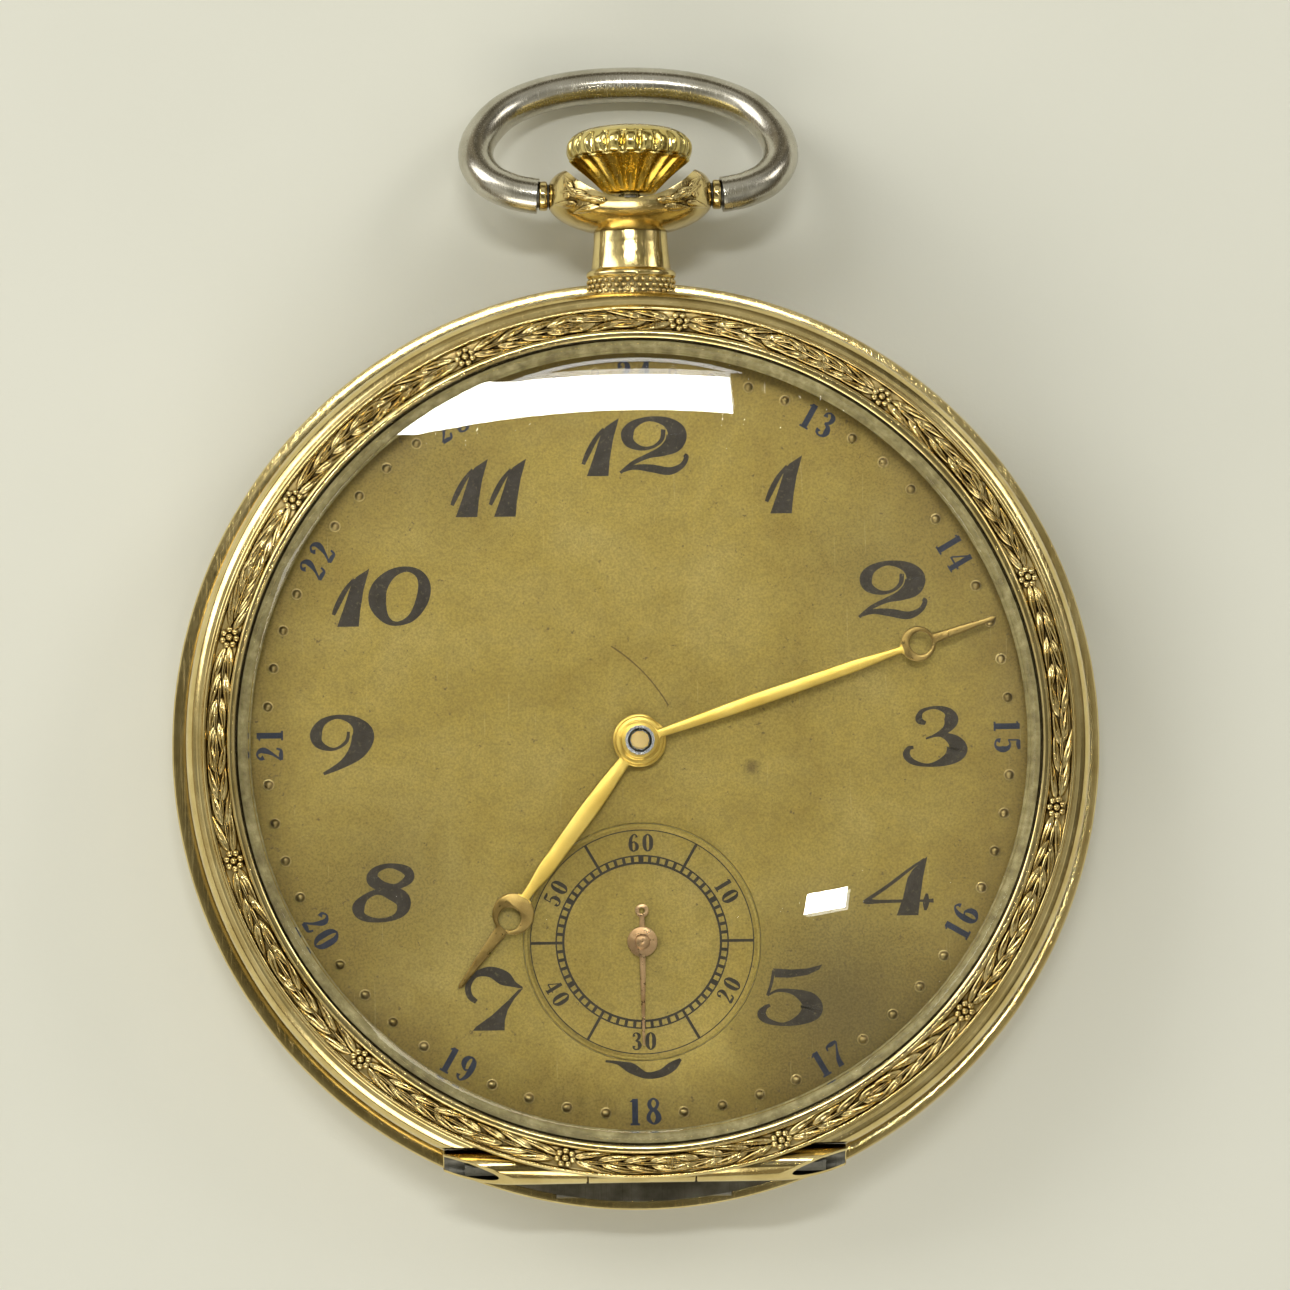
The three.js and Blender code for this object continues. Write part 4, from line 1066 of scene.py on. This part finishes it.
# ---------------------------------------------------------------- crystal
def make_crystal():
    """A dome that falls away more steeply towards its edge, on a bevelled rim that sits in the bezel."""
    dome_r, power, steps = 20.72, 2.7, 36
    top, top_drop = 10.35, 0.85
    under, under_drop = 9.60, 0.83
    radii = [dome_r * k / steps for k in range(steps + 1)]
    outer = [(r, top - top_drop * (r / dome_r) ** power) for r in reversed(radii)]
    inner = [(r, under - under_drop * (r / dome_r) ** power) for r in radii]
    rim = [(21.30, 8.76), (21.33, 8.80), (21.33, 9.02), (21.27, 9.08), (20.78, 9.47)]
    verts, faces = turned_solid(inner + rim + outer, under, top)
    glass = to_object("crystal_dome", verts, faces, [GLASS], 20)
    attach(glass, "bezel_frame")
    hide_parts("crystal")


def make_cement():
    """The old cement that holds the crystal on its seat."""
    profile = [(20.62, 8.62), (20.95, 8.60), (21.37, 8.725), (21.37, 8.752), (20.95, 8.75), (20.67, 8.70)]
    verts, faces = lathe(fillet(profile, 0.03, 2), 192)
    ring = to_object("crystal_cement", verts, faces, [CEMENT])
    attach(ring, "bezel_frame")


make_crystal()
make_cement()


# ---------------------------------------------------------------- dial
def make_dial():
    r, bottom = 21.5, 7.0
    rings = (21.2, 20.6, 19.0, 16.0, 12.0, 8.0, 4.0, 2.0, 0.98)
    profile = [(0.95, bottom), (r - 0.05, bottom), (r, bottom + 0.05), (r, DIAL_TOP - 0.12)]
    profile += [(r - 0.1, DIAL_TOP - 0.02)] + [(x, DIAL_TOP) for x in rings]
    verts, faces = lathe(profile, 192)
    dial = to_object("dial_plate", verts, faces, [DIAL])
    hole = cylinder("sub_hole", SUB["r"], 6.0, 9.0, 160)
    shift_y(hole, SUB["y"])
    cut(dial, hole, bevel=0.05)
    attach(dial, "case")
    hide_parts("dial")


def make_seconds_dial():
    """The sunk dial, its middle turned with fine concentric grooves."""
    top, bottom, edge = SUB["top"], 6.99, SUB["r"]
    groove_r, pitch, depth = 0.42, 0.12, 0.012
    profile = [(0.30, bottom), (edge - 0.06, bottom), (edge - 0.03, top + 0.10), (6.12, top + 0.10),
               (6.02, top + 0.02), (5.9, top), (4.3, top)]
    grooves = []
    while groove_r < 4.15:
        grooves += [(groove_r, top), (groove_r + pitch / 2, top - depth)]
        groove_r += pitch
    verts, faces = lathe(profile + grooves[::-1] + [(0.30, top)], 160)
    sub = to_object("seconds_plate", moved(verts, 0, SUB["y"]), faces, [SUB_DIAL])
    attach(sub, "case")
    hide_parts("seconds_dial")


def printed(name, work, material):
    obj = to_object(name, work.verts, work.faces, [material], 60)
    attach(obj, "case")
    return obj


def make_numerals():
    height, ring = 3.2, 15.8
    work = Pieces()
    for hour in (1, 2, 3, 4, 5, 7, 8, 9, 10, 11, 12):
        centre = clock_point(ring, hour * 30)
        add_text(work, str(hour), BOLD, centre, height, 0, DIAL_TOP - PRINT_SINK, 0.032, -0.02)
    # the 6 is mostly taken up by the seconds dial, and only its foot is printed
    foot = [(-2.05, -17.0, 0.12), (-1.4, -17.1, 0.20), (-0.7, -17.38, 0.55), (0.1, -17.78, 0.36),
            (0.9, -17.68, 0.42), (1.5, -17.32, 0.50), (1.95, -16.95, 0.15)]
    add_glyph(work, [("line", foot)], lambda x, y: (x, y), DIAL_TOP - PRINT_SINK, 0.032)
    printed("hour_numerals", work, INK_BROWN)
    work = Pieces()
    for number in range(13, 25):
        degrees = (number - 12) * 30
        centre = clock_point(19.68, degrees)
        add_text(work, str(number), FINE, centre, 1.40, reading_turn(degrees), DIAL_TOP - PRINT_SINK, 0.030,
                 0.20, 6, 1.5)
    printed("afternoon_numerals", work, INK_BLUE)


def make_minute_beads():
    """A bead in a low collar at each minute that has no numeral."""
    work = Pieces()
    r = 0.23
    dome, dome_faces = bead(r, 0.75, 5, 16)
    collar, collar_faces = lathe([(r, -0.02), (0.31, -0.02), (0.31, 0.02), (0.27, 0.035), (r, 0.03)], 18)
    for minute in range(60):
        if minute % 5 == 0:
            continue
        x, y = clock_point(19.86, minute * 6)
        work.add(moved(dome, x, y, DIAL_TOP - 0.01), dome_faces)
        work.add(moved(collar, x, y, DIAL_TOP), collar_faces)
    beads = to_object("minute_beads", work.verts, work.faces, [BEAD], 50)
    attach(beads, "case")


def ring_solid(inner, outer, z, thickness):
    return lathe([(inner, z), (outer, z), (outer, z + thickness), (inner, z + thickness)], 128)


def bar_solid(r0, r1, width, degrees, z, thickness):
    """A straight mark along a radius."""
    a = math.radians(degrees)
    along, side = (math.sin(a), math.cos(a)), (math.cos(a), -math.sin(a))
    h = width / 2
    corners = ((r0, -h), (r1, -h), (r1, h), (r0, h))
    flat = [(along[0] * r + side[0] * w, along[1] * r + side[1] * w) for r, w in corners]
    verts = [(x, y, z) for x, y in flat] + [(x, y, z + thickness) for x, y in flat]
    faces = [(3, 2, 1, 0), (4, 5, 6, 7)] + [(i, (i + 1) % 4, (i + 1) % 4 + 4, i + 4) for i in range(4)]
    return verts, faces


def block_solid(r0, r1, degrees, spread, z, thickness):
    """A thick mark that follows the track's curve."""
    steps = 5
    verts, faces = [], []
    for i in range(steps):
        a = math.radians(degrees + spread * (i / (steps - 1) - 0.5))
        for r in (r0, r1):
            for h in (z, z + thickness):
                verts.append((r * math.sin(a), r * math.cos(a), h))
    for i in range(steps - 1):
        b, n = i * 4, (i + 1) * 4
        faces += [(b, n, n + 1, b + 1), (b + 2, b + 3, n + 3, n + 2)]
        faces += [(b, b + 2, n + 2, n), (b + 1, n + 1, n + 3, b + 3)]
    faces += [(0, 1, 3, 2), (4 * steps - 4, 4 * steps - 2, 4 * steps - 1, 4 * steps - 3)]
    return verts, faces


def make_seconds_track():
    z, t = SUB["top"] - 0.015, 0.028
    work = Pieces()
    for inner, outer in ((4.14, 4.26), (4.54, 4.62), (5.92, 5.98)):
        work.add(*ring_solid(inner, outer, z, t))
    for second in range(60):
        if second % 10 == 0:
            work.add(*block_solid(4.22, 4.58, second * 6, 3.6, z, t + 0.002))
        elif second % 5 == 0:
            work.add(*bar_solid(4.20, 5.96, 0.15, second * 6, z, t + 0.002))
        else:
            work.add(*bar_solid(4.22, 4.57, 0.17, second * 6, z, t + 0.002))
    for number in (60, 10, 20, 30, 40, 50):
        degrees = number * 6 % 360
        centre = clock_point(5.27, degrees)
        add_text(work, str(number), FINE, centre, 0.94, reading_turn(degrees), z, t, 0.24, 5, 1.45)
    shift_y(printed("seconds_track", work, INK_FINE), SUB["y"])


make_dial()
make_seconds_dial()
make_numerals()
make_minute_beads()
make_seconds_track()


# ---------------------------------------------------------------- hands
def hand_outline(parts, start, tip):
    """The outline of a hand along +Y: parts give its half-width at y, and the widest wins."""
    steps = 260
    ys = [start + (tip - start) * i / steps for i in range(steps + 1)]
    widths = [max(part(y) for part in parts) for y in ys]
    right = [(w, y) for w, y in zip(widths, ys) if w > 0]
    return right + [(-w, y) for w, y in reversed(right)]


def disc(centre, radius):
    """The half-width of a disc at y."""
    return lambda y: math.sqrt(max(radius ** 2 - (y - centre) ** 2, 0.0))


def taper(stops):
    """The half-width at y of a bar that passes smoothly through the stops (y, half-width)."""
    def width(y):
        for (a, wa), (b, wb) in zip(stops, stops[1:]):
            if a <= y <= b:
                t = (y - a) / (b - a)
                return wa + (wb - wa) * (3 * t * t - 2 * t ** 3)
        return 0.0
    return width


def flat_piece(name, outlines, z, thickness, edge, materials):
    """A flat plate with round edges, cut to closed outlines. Inner ones are holes."""
    curve = bpy.data.curves.new(name, "CURVE")
    curve.dimensions = "2D"
    curve.fill_mode = "BOTH"
    curve.extrude = (thickness / 2 - edge) * MM
    curve.bevel_depth = edge * MM
    curve.bevel_resolution = 2
    curve.offset = -edge * MM
    for outline in outlines:
        spline = curve.splines.new("POLY")
        spline.points.add(len(outline) - 1)
        for point, (x, y) in zip(spline.points, outline):
            point.co = (x * MM, y * MM, 0, 1)
        spline.use_cyclic_u = True
    source = bpy.data.objects.new(name + "_outline", curve)
    bpy.context.scene.collection.objects.link(source)
    graph = bpy.context.evaluated_depsgraph_get()
    mesh = bpy.data.meshes.new_from_object(source.evaluated_get(graph))
    bpy.data.objects.remove(source)
    mesh.transform(Matrix.Translation((0, 0, (z + thickness / 2) * MM)))
    mesh.materials.clear()
    for material in materials:
        mesh.materials.append(material)
    bm = bmesh.new()
    bm.from_mesh(mesh)
    bmesh.ops.remove_doubles(bm, verts=bm.verts, dist=2 * WELD_M)
    bm.to_mesh(mesh)
    bm.free()
    obj = bpy.data.objects.new(name, mesh)
    bpy.context.scene.collection.objects.link(obj)
    return obj


def circle(radius, y, sides=64):
    turns = [TAU * i / sides for i in range(sides)]
    return [(radius * math.cos(a), y + radius * math.sin(a)) for a in turns]


def moon_hand(name, sizes, z, degrees, body, node):
    """A hand along +Y with a pierced moon before its tip, turned clockwise by degrees.

    sizes are the boss's radius, the body's half-width, the moon's place and radius, the hole's radius and
    place, the half-width past the moon, and the place of the tip.
    """
    boss, body_half, moon_y, moon_r, hole_r, hole_y, neck, tip = sizes
    before = moon_y - moon_r
    after = moon_y + moon_r
    parts = [disc(0, boss), disc(moon_y, moon_r),
             taper([(0.0, body_half * 0.62), (before * 0.45, body_half), (before * 0.8, body_half * 0.9),
                    (before - 0.25, body_half * 0.55), (before + 0.3, body_half * 0.5)]),
             taper([(after - 0.2, neck), (after + 0.12, neck), (after + (tip - after) * 0.3, neck * 0.82),
                    (tip - 0.2, 0.14), (tip, 0.05)])]
    shape = hand_outline(parts, -boss, tip)
    hand = flat_piece(name, [shape, circle(hole_r, hole_y)], z, 0.17, 0.075, [HAND_GOLD, HAND_TIP])
    # the tip and the moon have lost their gilding
    limit = (moon_y - moon_r * 0.9) * MM
    for polygon in hand.data.polygons:
        polygon.material_index = 1 if polygon.center.y > limit else 0
    dome = [(0.46, 0.16), (0.93, 0.16), (0.88, 0.24), (0.60, 0.30), (0.46, 0.30)]
    verts, faces = lathe(fillet([(boss * r, z + h) for r, h in dome], 0.02, 2), 72)
    collet = to_object(name + "_collet", verts, faces, [HAND_GOLD])
    finish_shading(hand.data, 30)
    hand = joined([hand, collet], name)
    hand.data.transform(Matrix.Rotation(-math.radians(degrees), 4, "Z"))
    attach(hand, body)
    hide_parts(node)


def make_hands():
    hour_sizes = (1.42, 0.46, 11.4, 1.12, 0.60, 11.72, 0.34, 16.3)
    moon_hand("hour_pointer", hour_sizes, 7.85, HOUR_DEG, "hour_body", "hour_hand")
    minute_sizes = (1.09, 0.36, 15.7, 0.94, 0.60, 15.86, 0.26, 20.1)
    moon_hand("minute_pointer", minute_sizes, 8.25, MINUTE_DEG, "minute_body", "minute_hand")


def make_seconds_hand():
    """A thin hand with a pierced tail and a domed cap. It points down in the photo."""
    parts = [disc(0, 0.8), disc(-1.65, 0.36), taper([(-1.7, 0.11), (-0.6, 0.15)]),
             taper([(0.0, 0.20), (1.2, 0.15), (4.6, 0.08), (5.5, 0.045)])]
    shape = hand_outline(parts, -2.01, 5.5)
    hand = flat_piece("seconds_pointer", [shape, circle(0.16, -1.65, 32)], 7.43, 0.12, 0.03, [HAND_COPPER])
    finish_shading(hand.data, 30)
    profile = [(0.05, 7.54), (0.42, 7.54), (0.36, 7.66), (0.2, 7.70), (0.05, 7.70)]
    verts, faces = lathe(fillet(profile, 0.02, 2), 48)
    hand = joined([hand, to_object("cap", verts, faces, [HAND_COPPER])], "seconds_pointer")
    hand.data.transform(Matrix.Rotation(math.pi, 4, "Z"))
    shift_y(hand, SUB["y"])
    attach(hand, "fourth_body")
    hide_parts("seconds_hand")


make_hands()
make_seconds_hand()


# ---------------------------------------------------------------- pendant, crown and bow
NECK_DEPTH = 0.66
BALL_DEPTH = 0.76


def stem_lathe(name, profile, depth, material, segments=96, radius_at=None, smooth=35.0):
    """A profile of (radius, y) turned round the stem's axis, with its front-to-back size scaled by depth."""
    verts, faces = lathe(profile, segments, radius_at=radius_at)
    verts = [(x, z, STEM_Z - y * depth) for x, y, z in verts]
    return to_object(name, verts, faces, [material], smooth)


# the pendant's ball, as (radius, y)
BALL = [(1.95, 27.62), (2.5, 27.75), (3.25, 28.02), (3.95, 28.42), (4.36, 28.86), (4.52, 29.3), (4.52, 29.72),
        (4.46, 30.12), (4.28, 30.5), (3.98, 30.8), (3.5, 30.98)]


def ball_radius(y):
    """The ball's radius at y, by straight lines between its points."""
    for (ra, ya), (rb, yb) in zip(BALL, BALL[1:]):
        if ya <= y <= yb:
            return ra + (rb - ra) * (y - ya) / (yb - ya)
    return BALL[0][0] if y < BALL[0][1] else BALL[-1][0]


def make_pendant():
    bore = 0.78
    neck = [(bore, 23.0), (2.42, 23.0), (2.42, 24.05), (2.3, 24.16), (2.3, 25.05), (2.42, 25.18),
            (2.44, 25.34), (2.34, 25.48), (2.16, 25.56), (2.08, 26.2), (2.0, 27.0), (1.97, 28.0),
            (bore, 28.0)]
    pendant = stem_lathe("neck", fillet(neck, 0.07, 3), NECK_DEPTH, GOLD)
    cut(pendant, cylinder("rim_room", 24.17, 0.0, 12.0, 192))
    profile = fillet([(bore, 27.6)] + BALL + [(bore, BALL[-1][1])], 0.3, 4)
    body = stem_lathe("ball", profile, BALL_DEPTH, GOLD, 128)
    # the hollow under the crown
    saddle = cylinder("saddle", 4.3, -5.0, 15.0, 160)
    shift_y(saddle, 33.35)
    cut(body, saddle)
    # the bow's pins go in from both sides, and the second cut rounds all edges
    for side, bevel in ((-1, 0.0), (1, 0.05)):
        socket = tube_x("socket", 3.2 * side, 6.0 * side, 0.74, 0.01, BOW_PIVOT[1], STEM_Z, GOLD, 0.0)
        cut(body, socket, bevel)
    pendant = joined([pendant, body], "pendant_body")
    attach(pendant, "case")
    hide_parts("pendant")


def beaded_collar(pieces):
    """Three rows of small beads round the foot of the neck."""
    count, r = 34, 2.3
    solid, faces = bead(0.15, 0.8, 4, 8)
    for row, y in enumerate((24.32, 24.61, 24.90)):
        for k in range(count):
            a = TAU * (k + 0.5 * (row % 2)) / count
            normal = Vector((math.cos(a), 0, math.sin(a) / NECK_DEPTH)).normalized()
            at = Vector((r * math.cos(a), y, STEM_Z + r * NECK_DEPTH * math.sin(a)))
            turn = normal.to_track_quat("Z", "Y").to_matrix()
            pieces.add([tuple(at + turn @ Vector(v)) for v in solid], faces)


def on_ball(pieces, solid, x, y, heading, face):
    """Lays a small solid on the ball, on its front for face 1 and on its back for face -1."""
    verts, faces = solid
    lift = 0.08
    c, s = math.cos(heading), math.sin(heading)
    out = []
    for u, v, w in verts:
        px, py = x + u * c - v * s, y + u * s + v * c
        reach = math.sqrt(max(ball_radius(py) ** 2 - px ** 2, 0.25)) * BALL_DEPTH
        out.append((px, py, STEM_Z + (reach + w + lift) * face))
    pieces.add(out, faces)


# the leaves on one side of the ball: place, heading and length
BALL_LEAVES = ((1.35, 28.88, 0.10, 1.5), (2.05, 28.98, 0.35, 1.5), (2.75, 29.1, 0.75, 1.35),
               (2.45, 29.35, 0.25, 1.4), (3.15, 29.65, 0.95, 1.05), (1.75, 28.62, -0.05, 1.4),
               (2.95, 28.85, 0.05, 1.2))


def make_chasing():
    work = Pieces()
    beaded_collar(work)
    for face in (-1, 1):
        for side in (-1, 1):
            for k, (x, y, heading, size) in enumerate(BALL_LEAVES):
                turn = heading if side > 0 else math.pi - heading
                bend = 0.12 if k % 2 else -0.12
                on_ball(work, leaf(size, 0.40, 0.17, bend), x * side, y, turn, face)
            on_ball(work, bead(0.2, 0.8, 4, 10), 3.45 * side, 29.35, 0, face)
    chasing = to_object("pendant_chasing", work.verts, work.faces, [GOLD_CHASED], 50)
    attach(chasing, "case")
    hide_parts("pendant")


def clamped(value, low=0.0, high=1.0):
    return min(max(value, low), high)


def make_crown():
    """The fluted crown: a cone of flutes below y 31.6 and rounded ribs on the rim above it."""
    flutes, bore, rib_y, rib_top = 22, 0.62, 31.6, 32.78
    cone = [(bore, 29.62), (1.22, 29.66), (1.55, 29.95), (2.1, 30.5), (2.7, 31.02), (3.12, 31.36),
            (3.28, 31.52)]
    rim = [(3.22, 31.62), (3.3, 31.68), (3.4, 31.92), (3.42, 32.2), (3.36, 32.46), (3.22, 32.66),
           (3.16, 32.72)]
    top = [(3.05, 32.84), (2.7, 33.05), (2.1, 33.22), (1.3, 33.34), (bore, 33.37)]
    profile = catmull(cone + rim + top, 3) + [(bore, 33.0), (bore, 30.0)]

    def fluted(k, r, y, a):
        wave = 0.5 - 0.5 * math.cos(flutes * a)
        if r <= 0.7 or y >= rib_top:
            return r
        if y < rib_y:
            return r - 0.34 * clamped((y - 29.7) / 0.9) * clamped((31.62 - y) / 0.2, 0.35) * wave ** 0.7
        round_over = math.sin(math.pi * clamped((y - rib_y) / (rib_top - rib_y))) ** 0.5
        return r - 0.30 * (1 - wave) ** 3 * round_over

    crown = stem_lathe("crown_onion", profile, 1.0, CROWN_GOLD, flutes * 14, fluted, 50)
    button = fillet([(0.02, 31.5), (0.66, 31.5), (0.66, 33.30), (0.5, 33.40), (0.02, 33.40)], 0.04, 2)
    crown = joined([crown, stem_lathe("button", button, 1.0, CROWN_GOLD, 48)], "crown_onion")
    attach(crown, "crown_stem")
    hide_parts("crown")


def make_bow():
    """The bow lying in the X-Y plane with its pins on the X axis, then folded forward about them."""
    wire = 0.96
    half = [(4.98, 0.0), (5.35, 0.06), (6.4, 0.38), (7.6, 1.2), (8.28, 2.6), (8.05, 4.3), (6.8, 6.15),
            (4.9, 7.32), (2.6, 7.96), (0.0, 8.15)]
    nodes = half + [(-x, y) for x, y in reversed(half[:-1])]
    points = [(x, y, 0.0) for x, y in catmull(nodes, 10)]
    # the two ends are cut square, and each end's point is given twice to close it
    radii = [wire - 0.08] + [wire] * len(points) + [wire - 0.08]
    verts, faces = sweep([points[0]] + points + [points[-1]], radii, 40)
    parts = [to_object("bow_ring_loop", verts, faces, [SILVER], 40)]
    for side in (-1, 1):
        parts.append(tube_x("pin", 3.35 * side, 5.15 * side, 0.62, 0.02, 0.0, 0.0, DARK_STEEL, 0.06))
        parts.append(tube_x("ear", 4.46 * side, 4.94 * side, 0.80, 0.3, 0.0, 0.0, GOLD, 0.14))
    bow = joined(parts, "bow_ring_loop")
    bow.data.transform(Matrix.Translation(Vector(BOW_PIVOT) * MM) @ Matrix.Rotation(BOW_FOLD, 4, "X"))
    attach(bow, "bow_ring")
    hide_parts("bow")


make_pendant()
make_chasing()
make_crown()
make_bow()


# ---------------------------------------------------------------- carried-over nodes
def finish_nodes():
    """Gives every CAD node that no visual piece replaces its own finish."""
    groups = {
        NICKEL: ("main_plate", "barrel_bridge", "train_bridge", "balance_cock", "pallet_cock"),
        WHEEL: ("barrel", "barrel_cover", "centre_wheel", "third_wheel", "fourth_wheel", "balance_wheel",
                "hour_wheel", "minute_wheel", "setting_wheel"),
        STEEL: ("stem", "stem_collar", "cannon_pinion", "barrel_arbor", "escape_wheel", "pallet_fork",
                "regulator", "ratchet_wheel", "crown_wheel", "click", "winding_pinion", "clutch",
                "setting_lever", "mainspring"),
        DARK_STEEL: ("bezel_hinge_pin", "back_hinge_pin"),
        BLUED: ("hairspring", "barrel_bridge_screw_1", "barrel_bridge_screw_2", "barrel_bridge_screw_3",
                "train_bridge_screw_1", "train_bridge_screw_2", "balance_cock_screw"),
        RUBY: ("jewel_third", "jewel_fourth", "jewel_escape", "jewel_balance"),
        GOLD: ("cuvette",),
    }
    for material, names in groups.items():
        for name in names:
            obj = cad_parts[name]
            if not obj.material_slots:
                raise ValueError(name + " has no material slot")
            for item in obj.material_slots:
                item.material = material


finish_nodes()
